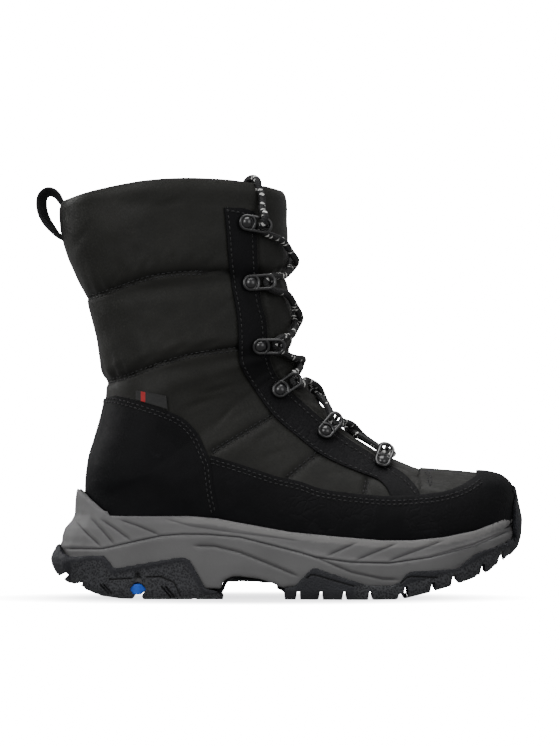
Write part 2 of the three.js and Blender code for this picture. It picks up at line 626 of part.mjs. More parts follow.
const archCut = prism(soleOutline([[0.365, -0.2], ...ARCH_LINE, [0.496, -0.2]]), -FAR, FAR);
const midsole = carrierBody(0, 0)
  .subtract(archCut)
  .subtract(recess)
  .subtract(prism(gripOutline(GAP), -FAR, FAR));

const grooveCut = (share, depth) => {
  const x = along(share);
  const floor = low(rubber("edge", (share - PLAN_BACK) / (PLAN_TIP - PLAN_BACK)));
  return block(x - GROOVE_WIDTH / 2, x + GROOVE_WIDTH / 2, -FAR, FAR, -5, floor + depth);
};
const shankTop = shiftLine(soleOutline([SHANK_ENDS[0], ...ARCH_LINE, SHANK_ENDS[1]]), -GAP);
const shankOutline = [...shankTop, ...shiftLine(shankTop, -SHANK_THICKNESS).reverse()];
const shank = union([
  prism(shankOutline, -SHANK_WIDTH / 2, SHANK_WIDTH / 2),
  ...ARCH_LUGS.map(([x0, x1, z0, z1]) => block(along(x0), along(x1), 4, SHANK_WIDTH / 2, low(z0), low(z1))),
]);
const treadCuts = union([
  ...FOREFOOT_GROOVES.map((share) => grooveCut(share, TREAD_GROOVE)),
  ...HEEL_GROOVES.map((share) => grooveCut(share, TREAD_GROOVE * 0.7)),
  ...[-1, 1].flatMap((side) => [
    block(along(0.5), along(1.1), side * TREAD_BAND - 1.1, side * TREAD_BAND + 1.1, -5, low(0.15) * 0.4),
    block(along(-0.1), along(0.38), side * TREAD_BAND - 1.1, side * TREAD_BAND + 1.1, -5, low(0.15) * 0.4),
  ]),
]);
const gripSlot = block(
  along(GRIP_AT) - GRIP_SLOT / 2, along(GRIP_AT) + GRIP_SLOT / 2, -FAR, FAR, -5, low(0.265));
const outsole = rubberBody
  .intersect(prism(soleOutline(RUBBER_LINE), -FAR, FAR))
  .subtract(carrierBody(GAP, GAP / SOLE_HEIGHT))
  .subtract(prism(soleOutline([[0.366, -0.5], [0.366, 1], [0.496, 1], [0.496, -0.5]]), -FAR, FAR))
  .subtract(recess)
  .subtract(treadCuts)
  .subtract(gripSlot)
  .subtract(prism(gripOutline(GAP), -FAR, FAR))
  .add(shank);

const gripHalf = plan("half", 0.17) * SOLE_WIDTH - 0.6;
const gripInsert = prism(gripOutline(0), -gripHalf, gripHalf);

// The tag is cut from a thicker layer over the counter's and the shaft's surface
const tagLayer = form(skinFar + GAP + TAG_THICKNESS).subtract(form(skinFar + GAP, 8, 8));
const sideTag = tagLayer.intersect(prism(outline(TAG_OUTLINE), -FAR, 0));

// The pull loop: a strap that leaves the back of the collar, turns over and comes back to the back seam
const LOOP_POINTS = [
  [0.0185, 0.93], [0.004, 0.95], [-0.014, 0.955], [-0.024, 0.93], [-0.02, 0.895], [-0.006, 0.857], [0.014, 0.825],
];
const loopPath = new THREE.CatmullRomCurve3(
  outline(LOOP_POINTS).map(([x, z]) => new THREE.Vector3(x, 0, z)));
const strapShape = new THREE.Shape([
  new THREE.Vector2(-STRAP_WIDTH / 2, -STRAP_THICKNESS / 2), new THREE.Vector2(STRAP_WIDTH / 2, -STRAP_THICKNESS / 2),
  new THREE.Vector2(STRAP_WIDTH / 2, STRAP_THICKNESS / 2), new THREE.Vector2(-STRAP_WIDTH / 2, STRAP_THICKNESS / 2),
]);
const pullLoop = fromGeometry(
  new THREE.ExtrudeGeometry(strapShape, { steps: 18, bevelEnabled: false, extrudePath: loopPath }),
).subtract(form(GAP, 0, 0));

// Eyelets: where each rivet and each ring's far end shows in the side view, from the collar down
const EYELETS = [
  { rivet: [0.414, 0.872], ring: [0.43, 0.868] },
  { rivet: [0.422, 0.704], ring: [0.442, 0.704] },
  { rivet: [0.442, 0.534], ring: [0.461, 0.536] },
  { rivet: [0.485, 0.409], ring: [0.499, 0.42] },
  { rivet: [0.581, 0.294], ring: [0.588, 0.304] },
  { rivet: [0.702, 0.209], ring: [0.706, 0.222] },
];

const ringShape = new THREE.Shape();
ringShape.absarc(RING_LENGTH - RING_WIDTH, 0, RING_WIDTH / 2, -Math.PI / 2, Math.PI / 2, false);
ringShape.absarc(0, 0, RING_WIDTH / 2, Math.PI / 2, (3 * Math.PI) / 2, false);
const ringHole = new THREE.Path();
const holeMiddle = RING_LENGTH - RING_WIDTH - 0.2;
ringHole.absarc(holeMiddle, 0, RING_HOLE / 2, -Math.PI / 2, Math.PI / 2, false);
ringHole.lineTo(holeMiddle - RING_HOLE * 0.42, RING_HOLE / 2);
ringHole.lineTo(holeMiddle - RING_HOLE * 0.42, -RING_HOLE / 2);
ringShape.holes.push(ringHole);
const ringPlate = new THREE.ExtrudeGeometry(ringShape, {
  depth: RING_THICKNESS, bevelEnabled: false, curveSegments: 3,
});
const rivetDome = new THREE.LatheGeometry(
  [[0, 0], [RIVET_RADIUS, 0], [RIVET_RADIUS * 0.75, 0.7 * RIVET_DOME], [0, RIVET_DOME]].map(
    ([x, y]) => new THREE.Vector2(x, y)), 7);
rivetDome.rotateX(Math.PI / 2);
rivetDome.translate(0, 0, RING_THICKNESS - 0.3);
const ringSolid = fromGeometry(ringPlate).add(fromGeometry(rivetDome));

// The ring's far end, which has a small foot down to the leather that the lace turns round
const RING_FOOT = 2;
const LACE_ROOM = RING_THICKNESS / 2 + LACE + 5.5 * GAP;
const LEAST_TILTS = [2, 16];
const FOOT_AT = (holeMiddle + RING_HOLE / 2 + RING_LENGTH - RING_WIDTH / 2) / 2;

// The place of the surface that lies nearest to a point, looked for from a place not far off
function nearest(p, { u: startU, v: startV }, offset) {
  let u = startU;
  let v = startV;
  const step = 0.01;
  const bound = (value, most) => Math.min(Math.max(value, -most), most);
  for (let n = 0; n < 16; n += 1) {
    const q = offsetPoint(u, v, offset);
    const pu = offsetPoint(u + step, v, offset).sub(q).divideScalar(step);
    const pv = offsetPoint(u, v + step, offset).sub(q).divideScalar(step);
    const off = p.clone().sub(q);
    const [a, b, c] = [pu.dot(pu), pu.dot(pv), pv.dot(pv)];
    const [d, e] = [off.dot(pu), off.dot(pv)];
    const det = a * c - b * b;
    u += bound((d * c - e * b) / det, 1);
    v += bound((e * a - d * b) / det, 0.1);
  }
  const point = offsetPoint(u, v, offset);
  const normal = upperNormal(u, v);
  return { point, normal, u, v, height: p.clone().sub(point).dot(normal) };
}

// One eyelet: its frame, which points to the ring's far end, across, and out, and its foot on the leather. It is
// tilted so far that the lace fits under its far end.
function eyelet({ rivet, ring }, side) {
  const seat = onSide(along(rivet[0]), rise(rivet[1]), side, skinFar);
  const aim = onSide(along(ring[0]), rise(ring[1]), side, skinFar);
  const flat = aim.point.clone().sub(seat.point);
  flat.addScaledVector(seat.normal, -flat.dot(seat.normal)).normalize();
  const across = seat.normal.clone().cross(flat);
  const tilted = (degrees) => {
    const tilt = THREE.MathUtils.degToRad(degrees);
    const to = flat.clone().multiplyScalar(Math.cos(tilt)).addScaledVector(seat.normal, Math.sin(tilt));
    const out = to.clone().cross(across);
    const base = seat.point.clone().addScaledVector(seat.normal, GAP + (RING_WIDTH / 2) * Math.sin(tilt));
    const frame = new THREE.Matrix4().makeBasis(to, across, out).setPosition(base);
    const end = new THREE.Vector3(FOOT_AT, 0, RING_THICKNESS / 2).applyMatrix4(frame);
    return { frame, to, out, end, height: nearest(end, aim, skinFar + GAP).height };
  };
  const [less, more] = LEAST_TILTS.map(tilted);
  const share = (LACE_ROOM - less.height) / (more.height - less.height);
  const made = tilted(LEAST_TILTS[0] + (LEAST_TILTS[1] - LEAST_TILTS[0]) * Math.max(share, 0));
  let depth = made.height;
  for (let n = 0; n < 3; n += 1) {
    const { height, normal } = nearest(made.end.clone().addScaledVector(made.out, -depth), aim, skinFar + GAP);
    depth += height / made.out.dot(normal);
  }
  const foot = made.end.clone().addScaledVector(made.out, -depth);
  const half = RING_FOOT / 2;
  const post = block(FOOT_AT - half, FOOT_AT + half, -half, half, RING_THICKNESS / 2 - depth, 1);
  const up = across.z < 0 ? across.clone().negate() : across;
  const { u, v, normal } = nearest(foot, aim, skinFar + GAP);
  return { ...made, foot, up, u, v, normal, solid: ringSolid.add(post) };
}

const eyelets = [-1, 1].map((side) => EYELETS.map((place) => eyelet(place, side)));

function transformed(made, frame) {
  const geometry = toGeometry(made);
  geometry.applyMatrix4(frame);
  return geometry;
}

// The lace passes under each ring and turns round its foot. Between two pairs of rings its strands cross on the
// tongue, and a stretch over the vamp joins the lowest pair. At the top ring it comes up through the hole.
const CROSSINGS = [[0.506, 0.765], [0.508, 0.61], [0.521, 0.49], [0.556, 0.4], [0.635, 0.297]];
const LOWEST_BAR = [0.725, 0.226];
const LACE_SIDES = 6;
const LACE_TURN = 4.3;
const LACE_HEIGHT = LACE / 2 + 2 * GAP;
const TURN_ANGLES = [80, 150, 210, 280];

const laceSection = new THREE.Shape();
laceSection.absarc(0, 0, LACE / 2, 0, 2 * Math.PI, false);

// A smooth path whose steps are its own points, so that they lie close together only where it turns
class StepPath extends THREE.CatmullRomCurve3 {
  getUtoTmapping(u) {
    return u;
  }
}

function cordAlong(points, each = 1) {
  const path = new StepPath(points, false, "centripetal");
  return fromGeometry(new THREE.ExtrudeGeometry(laceSection, {
    steps: each * (points.length - 1), bevelEnabled: false, extrudePath: path, curveSegments: LACE_SIDES / 2,
  }));
}

// The row whose ridge shows nearest to a place of the side view
function ridgeRow([share, height]) {
  const rows = Array.from({ length: 20 * LAST_ROW }, (unused, i) => i / 20);
  const far = (u) => {
    const p = upperPoint(u, 0);
    return Math.hypot(p.x - along(share), p.z - rise(height));
  };
  return rows.reduce((best, u) => (far(u) < far(best) ? u : best));
}

// A place under a ring, on the leather: ahead of its foot and up from it
function underRing(ring, ahead, above) {
  const { normal } = ring;
  const forward = ring.to.clone().addScaledVector(normal, -ring.to.dot(normal)).normalize();
  const upward = ring.up.clone().addScaledVector(normal, -ring.up.dot(normal)).normalize();
  const p = ring.foot.clone().addScaledVector(ring.out, (LACE_HEIGHT - GAP) / ring.out.dot(normal));
  p.addScaledVector(forward, ahead).addScaledVector(upward, above);
  return nearest(p, ring, skinFar + LACE_HEIGHT).point;
}

const turnRound = (ring) =>
  TURN_ANGLES.map((degrees) => {
    const angle = THREE.MathUtils.degToRad(degrees);
    return underRing(ring, LACE_TURN * Math.cos(angle), LACE_TURN * Math.sin(angle));
  });

// In the top ring's hole, from its middle down to the leather
const throughHole = (ring) => [
  ...[[-0.3, 0], [-1.6, -2.8]].map(([above, over]) =>
    ring.end.clone().addScaledVector(ring.to, -LACE_TURN).addScaledVector(ring.up, above)
      .addScaledVector(ring.out, over)),
  underRing(ring, -0.5 * LACE_TURN, -0.87 * LACE_TURN),
  underRing(ring, 0.17 * LACE_TURN, -LACE_TURN),
];

// From a ring to the ridge, over the tongue
const strand = ({ u, v }, row) =>
  [0.36, 0.68].map((share) => offsetPoint(u + (row - u) * share, v * (1 - share), LACE_HEIGHT + 1.2 * (1 - share)));

const crossingRows = CROSSINGS.map(ridgeRow);
const barRow = ridgeRow(LOWEST_BAR);

// One half of the lace, from the top ring of one side down to the stretch between the lowest rings
function laceHalf(first) {
  const points = [];
  EYELETS.forEach((unused, i) => {
    const ring = eyelets[(first + i) % 2][i];
    if (i > 0) points.push(...strand(ring, crossingRows[i - 1]).reverse());
    points.push(...(i > 0 ? turnRound(ring) : throughHole(ring)));
    const row = i < crossingRows.length ? crossingRows[i] : barRow;
    points.push(...strand(ring, row), offsetPoint(row, 0, LACE_HEIGHT));
  });
  return cordAlong(points);
}
const laceCrossings = laceHalf(0).add(laceHalf(1));

// The lace's end on the outer side: out of the top ring's hole, up and over the collar, and down inside the shaft
const LACE_END = [
  [65.1, -39.2, 229.8], [65.6, -41.2, 230.7], [66.3, -42.5, 232.9], [66.9, -42.3, 235.7],
  [65.0, -37.6, 239.0], [65.0, -34.7, 244.2], [64.6, -33.6, 248.6], [62.9, -32.2, 252.5],
  [62.5, -31.7, 256.5], [61.1, -29.8, 258.4], [59.3, -27.7, 259.0], [57.1, -25.1, 258.4],
  [55.3, -22.8, 256.5], [54.7, -22.1, 252.5], [55.9, -22.3, 249.2], [56.4, -22.5, 242.6],
  [56.7, -22.4, 234.2], [57.0, -22.2, 225.4],
];
const laceEnd = (side) => cordAlong(LACE_END.map(([x, y, z]) => new THREE.Vector3(x, -side * y, z)));

const pieces = [
  ["outsole", outsole, 0x2b2c31, 0.75, 0],
  ["midsole", midsole, 0x6b6b6e, 0.7, 0],
  ["grip_insert", gripInsert, 0x1f5fd6, 0.5, 0],
  ["insole", insole, 0x3a3a3a, 0.9, 0],
  ["upper", upper, 0x26271f, 0.6, 0],
  ["tongue", tongue, 0x2c2d26, 0.6, 0],
  ["heel_counter", heelCounter, 0x17171b, 0.6, 0],
  ["mudguard", mudguard, 0x19191d, 0.6, 0],
  ["eyestay_lateral", eyestay(-FAR, 0), 0x1a1a1e, 0.6, 0],
  ["eyestay_medial", eyestay(0, FAR), 0x1a1a1e, 0.6, 0],
  ["side_tag", sideTag, 0x202020, 0.8, 0],
  ["pull_loop", pullLoop, 0x101012, 0.8, 0],
  ["lace_crossings", laceCrossings, 0x1c1c1c, 0.8, 0],
  ["lace_end_lateral", laceEnd(-1), 0x1c1c1c, 0.8, 0],
  ["lace_end_medial", laceEnd(1), 0x1c1c1c, 0.8, 0],
];

const group = new THREE.Group();
function addMesh(name, geometry, colour, roughness, metalness) {
  const mesh = new THREE.Mesh(geometry, new THREE.MeshStandardMaterial({ color: colour, roughness, metalness }));
  mesh.name = name;
  group.add(mesh);
}
for (const [name, made, colour, roughness, metalness] of pieces) {
  addMesh(name, toGeometry(made), colour, roughness, metalness);
}
const SIDE_NAMES = ["lateral", "medial"];
eyelets.forEach((list, s) => {
  list.forEach(({ frame, solid: made }, i) => {
    addMesh(`eyelet_${SIDE_NAMES[s]}_${i + 1}`, transformed(made, frame), 0x101114, 0.25, 0.8);
  });
});

export default group;
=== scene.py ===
# A laced snow boot for the right foot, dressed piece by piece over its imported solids. Metres, +Z up, toe to +X.
import math

import bmesh
import bpy
import numpy as np
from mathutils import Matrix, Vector
from mathutils.bvhtree import BVHTree


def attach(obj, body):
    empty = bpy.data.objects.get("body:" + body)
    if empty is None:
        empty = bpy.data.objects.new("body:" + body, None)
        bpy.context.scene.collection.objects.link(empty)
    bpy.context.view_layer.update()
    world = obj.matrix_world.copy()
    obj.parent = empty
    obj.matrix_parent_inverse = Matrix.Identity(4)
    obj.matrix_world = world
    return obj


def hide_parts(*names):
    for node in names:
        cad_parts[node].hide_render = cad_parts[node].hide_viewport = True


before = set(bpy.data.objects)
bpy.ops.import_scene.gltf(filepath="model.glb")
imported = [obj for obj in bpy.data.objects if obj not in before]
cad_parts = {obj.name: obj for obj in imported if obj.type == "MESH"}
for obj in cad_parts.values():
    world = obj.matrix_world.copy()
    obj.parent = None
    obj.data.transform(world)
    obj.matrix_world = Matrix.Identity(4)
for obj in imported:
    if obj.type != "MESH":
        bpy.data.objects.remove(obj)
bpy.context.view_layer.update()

bpy.ops.object.select_all(action="DESELECT")

# The photographer's table. A long lens looks level across the boot's outer side, from some four metres off,
# and large soft lamps stand above and to both sides of a pale sheet.
CAMERA_OFF = 4.6
NEAR_SIDE = 0.012
VIEW_HEIGHT = 0.4608
VIEW_MIDDLE = (0.076, 0.139)
SENSOR = 36
bpy.ops.object.camera_add(location=(VIEW_MIDDLE[0], -CAMERA_OFF, VIEW_MIDDLE[1]), rotation=(math.pi / 2, 0, 0))
camera = bpy.context.object
camera.data.sensor_width = SENSOR
camera.data.lens = SENSOR * (CAMERA_OFF - NEAR_SIDE) / VIEW_HEIGHT
bpy.context.scene.camera = camera

sky = bpy.data.worlds.new("dim_room")
bpy.context.scene.world = sky
sky.use_nodes = True
sky.node_tree.nodes["Background"].inputs["Color"].default_value = (1, 1, 1, 1)
sky.node_tree.nodes["Background"].inputs["Strength"].default_value = 0.3

LAMPS = [
    ("key", (-1.1, -1.7, 1.1), (0.05, 0, 0.12), 1.2, 22),
    ("fill", (1.5, -1.5, 0.8), (0.08, 0, 0.1), 1.4, 10),
    ("top", (0.0, 0.0, 1.9), (0.06, 0, 0.1), 1.5, 30),
    ("rim", (-1.5, 0.8, 0.9), (0, 0, 0.15), 0.9, 14),
]
for lamp_name, spot, aim, size, power in LAMPS:
    bpy.ops.object.light_add(type="AREA", location=spot)
    lamp = bpy.context.object
    lamp.name = lamp_name
    lamp.data.size = size
    lamp.data.energy = power
    lamp.rotation_euler = (Vector(aim) - Vector(spot)).to_track_quat("-Z", "Y").to_euler()


# The table and the wall. Pale paper, lit until it is white, with the boot's soft shade drawn where the sole stands;
# neither shows in the boot's own surfaces.
class Value:
    """A shader value that can stand in sums, and the one way that any other node is made."""

    def __init__(self, tree, socket=None):
        self.tree = tree
        self.socket = socket

    def node(self, kind, settings=None, sockets=None, out=0):
        made = self.tree.nodes.new("ShaderNode" + kind)
        for name, setting in (settings or {}).items():
            setattr(made, name, setting)
        for name, value in (sockets or {}).items():
            if isinstance(value, Value):
                self.tree.links.new(value.socket, made.inputs[name])
            else:
                made.inputs[name].default_value = value
        return Value(self.tree, made.outputs[out])

    def sum(self, operation, second=0.0):
        return self.node("Math", {"operation": operation}, {0: self, 1: second})

    def axes(self):
        """The three parts of a place, or of a place on a map."""
        made = self.node("SeparateXYZ", {}, {0: self})
        return [Value(self.tree, output) for output in made.socket.node.outputs]

    def __add__(self, other):
        return self.sum("ADD", other)

    __radd__ = __add__

    def __sub__(self, other):
        return self.sum("SUBTRACT", other)

    def __rsub__(self, other):
        return self.node("Math", {"operation": "SUBTRACT"}, {0: other, 1: self})

    def __mul__(self, other):
        return self.sum("MULTIPLY", other)

    __rmul__ = __mul__

    def __gt__(self, other):
        return self.sum("GREATER_THAN", other)

    def step(self, low, high):
        return self.node("MapRange", {"interpolation_type": "SMOOTHSTEP"}, {0: self, 1: low, 2: high})

    def blend(self, first, second):
        return self.node("Mix", {"data_type": "RGBA"}, {0: self, 6: first, 7: second}, out=2)


def finish_of(name, roughness, **constants):
    """A new material with its fixed numbers set, the start of its node sums, and its shader."""
    made = bpy.data.materials.new(name)
    made.use_nodes = True
    shader = made.node_tree.nodes["Principled BSDF"]
    shader.inputs["Roughness"].default_value = roughness
    for key, value in constants.items():
        shader.inputs[key.replace("_", " ")].default_value = value
    return made, Value(made.node_tree), shader


def feed(shader, start, colour=None, roughness=None, bumps=()):
    """Joins what changes over the surface to the shader: bumps are (height, strength, metres)."""
    tree = start.tree
    if colour is not None:
        tree.links.new(colour.socket, shader.inputs["Base Color"])
    if roughness is not None:
        tree.links.new(roughness.socket, shader.inputs["Roughness"])
    normal = None
    for height, strength, distance in bumps:
        sockets = {"Strength": strength, "Distance": distance, "Height": height}
        if normal is not None:
            sockets["Normal"] = normal
        normal = start.node("Bump", {}, sockets)
    if normal is not None:
        tree.links.new(normal.socket, shader.inputs["Normal"])


paper, start, shader = finish_of("lit_paper", 0.9, Emission_Strength=20)
SHADE_MIDDLE = (0.06, -0.01)
SHADE_FALL = (29, 42)
spot_x, spot_y, _ = start.node("TexCoord", out=3).axes()
from_middle = ((spot_x - SHADE_MIDDLE[0]) * (spot_x - SHADE_MIDDLE[0]) * SHADE_FALL[0]
               + (spot_y - SHADE_MIDDLE[1]) * (spot_y - SHADE_MIDDLE[1]) * SHADE_FALL[1])
shade = from_middle.step(1.25, 0.15).blend((1, 1, 1, 1), (0.12, 0.12, 0.125, 1))
start.tree.links.new(shade.socket, shader.inputs["Emission Color"])
for sheet_name, sheet_size, sheet_place, sheet_turn in (("table_top", 24, (0, 0, 0), 0),
                                                        ("back_wall", 40, (0, 11.9, 6), math.pi / 2)):
    bpy.ops.mesh.primitive_plane_add(size=sheet_size, location=sheet_place, rotation=(sheet_turn, 0, 0))
    sheet = bpy.context.object
    sheet.name = sheet_name
    sheet.data.materials.append(paper)
    sheet.visible_diffuse = False
    sheet.visible_glossy = False


# The lace. One round cord, woven round a core, black with white flecks. It passes under each ring, turns round the
# ring's small foot and crosses on the tongue; at the top rings it comes up through the hole, and each end lies over
# the collar and hangs down inside the shaft.
LACE_WIDTH = 0.0044
LACE_AROUND = 12
LACE_STEP = 0.0011

lace_finish, start, shader = finish_of("flecked_cord", 0.7)
STRANDS_A_METRE = 2900
STRANDS_ROUND = 25.132
FLECKS_A_METRE = 330
FLECKS_ROUND = 2
lengthwise, round_about, _ = start.node("UVMap", {"uv_map": "along"}).axes()
plait = ((lengthwise * STRANDS_A_METRE + round_about * STRANDS_ROUND).sum("SINE")
         * (lengthwise * STRANDS_A_METRE - round_about * STRANDS_ROUND).sum("SINE"))
right_turned = lengthwise * FLECKS_A_METRE + round_about * FLECKS_ROUND
left_turned = lengthwise * FLECKS_A_METRE - round_about * FLECKS_ROUND
cell = start.node("CombineXYZ", {}, {0: right_turned.sum("FLOOR"), 1: left_turned.sum("FLOOR")})
chance = start.node("TexWhiteNoise", {"noise_dimensions": "2D"}, {"Vector": cell})
fleck = ((chance > 0.7) * (left_turned.sum("FRACT").sum("PINGPONG", 0.5) > 0.12)
         * (right_turned.sum("FRACT").sum("PINGPONG", 0.5) > 0.26))
feed(shader, start, fleck.blend((0.008, 0.008, 0.009, 1), (0.62, 0.62, 0.6, 1)), bumps=[(plait, 0.5, 0.0004)])


def smooth_route(points, step):
    """A Catmull-Rom curve through given points, read at even steps."""
    p = np.array(points, dtype=float)
    p = np.vstack([2 * p[0] - p[1], p, 2 * p[-1] - p[-2]])
    out = []
    for i in range(1, len(p) - 2):
        knots = [0.0]
        for a, b in ((i - 1, i), (i, i + 1), (i + 1, i + 2)):
            knots.append(knots[-1] + max(np.linalg.norm(p[b] - p[a]), 1e-9) ** 0.5)
        t = np.linspace(knots[1], knots[2], 13)[:-1, None]
        a1 = (knots[1] - t) / (knots[1] - knots[0]) * p[i - 1] + (t - knots[0]) / (knots[1] - knots[0]) * p[i]
        a2 = (knots[2] - t) / (knots[2] - knots[1]) * p[i] + (t - knots[1]) / (knots[2] - knots[1]) * p[i + 1]
        a3 = (knots[3] - t) / (knots[3] - knots[2]) * p[i + 1] + (t - knots[2]) / (knots[3] - knots[2]) * p[i + 2]
        b1 = (knots[2] - t) / (knots[2] - knots[0]) * a1 + (t - knots[0]) / (knots[2] - knots[0]) * a2
        b2 = (knots[3] - t) / (knots[3] - knots[1]) * a2 + (t - knots[1]) / (knots[3] - knots[1]) * a3
        out.append((knots[2] - t) / (knots[2] - knots[1]) * b1 + (t - knots[1]) / (knots[2] - knots[1]) * b2)
    dense = np.vstack(out + [p[-2:-1]])
    run = np.concatenate([[0], np.cumsum(np.linalg.norm(np.diff(dense, axis=0), axis=1))])
    places = np.linspace(0, run[-1], max(int(round(run[-1] / step)), 2) + 1)
    return np.stack([np.interp(places, run, dense[:, c]) for c in range(dense.shape[1])], axis=1)


def tube(name, route, width, around, material):
    """A round cord along a route, capped at both ends, with a map of how far along and round each corner lies."""
    ahead = np.gradient(route, axis=0)
    ahead /= np.linalg.norm(ahead, axis=1)[:, None]
    side = np.cross(ahead[0], [0.3, 0.2, 0.9])
    verts = []
    for place, way in zip(route, ahead):
        side = side - way * side.dot(way)
        side /= np.linalg.norm(side)
        up = np.cross(way, side)
        turns = np.arange(around) * 2 * math.pi / around
        verts.append(place + width / 2 * (np.cos(turns)[:, None] * side + np.sin(turns)[:, None] * up))
    count = len(route)
    faces = []
    for i in range(count - 1):
        for j in range(around):
            k = (j + 1) % around
            faces.append((i * around + j, i * around + k, (i + 1) * around + k, (i + 1) * around + j))
    verts = np.vstack(verts + [route[0] - ahead[0] * width * 0.2, route[-1] + ahead[-1] * width * 0.2])
    first, last = count * around, count * around + 1
    for j in range(around):
        k = (j + 1) % around
        faces.append((first, k, j))
        faces.append((last, (count - 1) * around + j, (count - 1) * around + k))
    mesh = bpy.data.meshes.new(name)
    mesh.from_pydata(verts.tolist(), [], faces)
    layer = mesh.uv_layers.new(name="along")
    run = np.concatenate([[0], np.cumsum(np.linalg.norm(np.diff(route, axis=0), axis=1))])
    for polygon in mesh.polygons:
        corners = [v for v in polygon.vertices if v < first]
        seam = around - 1 in [v % around for v in corners] and 0 in [v % around for v in corners]
        for loop in polygon.loop_indices:
            v = mesh.loops[loop].vertex_index
            if v >= first:
                layer.data[loop].uv = (0 if v == first else run[-1], 0.5)
                continue
            turn = v % around
            layer.data[loop].uv = (run[v // around], (around if seam and turn == 0 else turn) / around)
    mesh.materials.append(material)
    mesh.shade_smooth()
    made = bpy.data.objects.new(name, mesh)
    bpy.context.scene.collection.objects.link(made)
    return made


LACE_END = [
    (65.1, -39.2, 229.8), (65.6, -41.2, 230.7), (66.3, -42.5, 232.9), (66.9, -42.3, 235.7),
    (65.0, -37.6, 239.0), (65.0, -34.7, 244.2), (64.6, -33.6, 248.6), (62.9, -32.2, 252.5),
    (62.5, -31.7, 256.5), (61.1, -29.8, 258.4), (59.3, -27.7, 259.0), (57.1, -25.1, 258.4),
    (55.3, -22.8, 256.5), (54.7, -22.1, 252.5), (55.9, -22.3, 249.2), (56.4, -22.5, 242.6),
    (56.7, -22.4, 234.2), (57.0, -22.2, 225.4),
]
for side, side_name in ((1, "lateral"), (-1, "medial")):
    end_route = smooth_route([(x / 1000, side * y / 1000, z / 1000) for x, y, z in LACE_END], LACE_STEP)
    lace_end = tube("cord_end_" + side_name, end_route, LACE_WIDTH, LACE_AROUND, lace_finish)
    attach(lace_end, "root")
    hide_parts("lace_end_" + side_name)

# The crossed part of the lace: two halves, each from a top ring down to the stretch over the vamp. Where they
# meet on the tongue one half rides over the other, by turns, as it does on a laced boot.
LACE_HALVES = [
    [(65.0, -38.8, 229.6), (64.2, -36.1, 228.2), (66.0, -34.6, 225.7), (68.2, -33.0, 224.6), (77.9, -21.3, 220.2),
     (82.5, -10.7, 213.3), (83.7, 0.0, 207.3), (81.7, 9.6, 202.4), (77.6, 18.5, 199.0), (70.8, 27.8, 198.3),
     (67.5, 30.9, 196.6), (68.0, 31.7, 192.4), (71.7, 29.4, 190.0), (80.1, 18.8, 187.9), (84.6, 9.6, 181.0),
     (86.1, 0.0, 173.4), (85.5, -8.8, 167.6), (82.8, -17.2, 162.1), (76.5, -26.8, 160.6), (73.4, -29.6, 158.0),
     (73.0, -28.6, 154.0), (75.9, -24.9, 152.6), (82.0, -16.4, 149.3), (86.2, -8.6, 147.6), (88.0, 0.5, 146.5),
     (88.1, 6.7, 144.9), (87.7, 12.7, 140.9), (84.6, 19.2, 138.6), (83.0, 22.5, 135.3), (85.5, 23.3, 131.9),
     (89.3, 20.5, 131.8), (92.1, 12.5, 134.5), (95.5, 7.1, 131.9), (98.5, 1.8, 127.9), (101.6, -3.5, 123.9),
     (105.4, -9.0, 118.2), (107.4, -16.4, 113.1), (107.6, -20.3, 110.0), (110.8, -20.5, 107.1),
     (113.5, -16.6, 107.3), (114.2, -9.0, 109.0), (117.0, -3.1, 107.1), (119.9, 2.8, 104.4), (126.2, 7.8, 100.0),
     (133.6, 12.9, 95.2), (137.5, 19.4, 92.5), (139.1, 23.6, 90.4), (143.0, 23.6, 88.7), (145.2, 19.3, 89.0),
     (143.2, 13.1, 90.4), (144.6, 8.2, 89.8), (146.0, 3.3, 89.0)],
    [(65.0, 38.8, 229.6), (64.2, 36.1, 228.2), (66.0, 34.6, 225.7), (68.2, 33.0, 224.6), (77.9, 21.3, 220.2),
     (82.5, 10.7, 213.3), (83.7, 0.0, 207.3), (81.7, -9.6, 202.4), (77.6, -18.5, 199.0), (70.9, -27.8, 198.3),
     (67.5, -30.9, 196.6), (68.0, -31.7, 192.4), (71.7, -29.4, 190.0), (80.1, -18.8, 187.9), (84.6, -9.6, 181.0),
     (86.1, 0.0, 173.4), (85.5, 8.8, 167.6), (82.8, 17.2, 162.1), (76.5, 26.8, 160.7), (73.4, 29.5, 158.0),
     (73.0, 28.5, 154.0), (75.9, 24.9, 152.6), (82.0, 16.4, 149.3), (86.2, 8.6, 147.6), (88.0, 0.5, 146.5),
     (88.1, -5.3, 144.8), (87.7, -11.0, 140.7), (84.6, -17.3, 138.6), (83.0, -20.6, 135.2), (85.4, -21.2, 131.7),
     (89.2, -18.2, 131.6), (92.0, -10.0, 134.5), (95.4, -4.0, 132.0), (98.5, 1.8, 127.9), (101.6, 7.3, 124.0),
     (105.6, 12.8, 118.2), (107.6, 20.2, 113.3), (107.8, 24.2, 110.2), (111.0, 24.4, 107.4), (113.8, 20.6, 107.5),
     (114.4, 13.4, 109.0), (117.1, 8.2, 107.1), (119.9, 2.8, 104.4), (126.2, -1.9, 100.0), (133.6, -7.0, 95.1),
     (137.5, -13.8, 92.3), (139.0, -18.0, 90.2), (143.0, -18.0, 88.5), (145.2, -13.7, 88.9), (143.1, -7.2, 90.3),
     (144.6, -2.0, 89.8), (146.0, 3.3, 89.0)],
]
CROSSINGS = [
    ((83.7, 0.0, 207.3), (0.94, 0, 0.34), 0), ((86.1, 0.0, 173.4), (1, 0, 0.02), 1),
    ((88.0, 0.5, 146.5), (0.9, 0, 0.42), 0), ((98.5, 1.8, 127.9), (0.66, 0, 0.75), 1),
    ((119.9, 2.8, 104.4), (0.5, 0, 0.87), 0),
]
CROSSING_LIFT = 0.0024
CROSSING_DROP = 0.0013
CROSSING_REACH = 0.0085
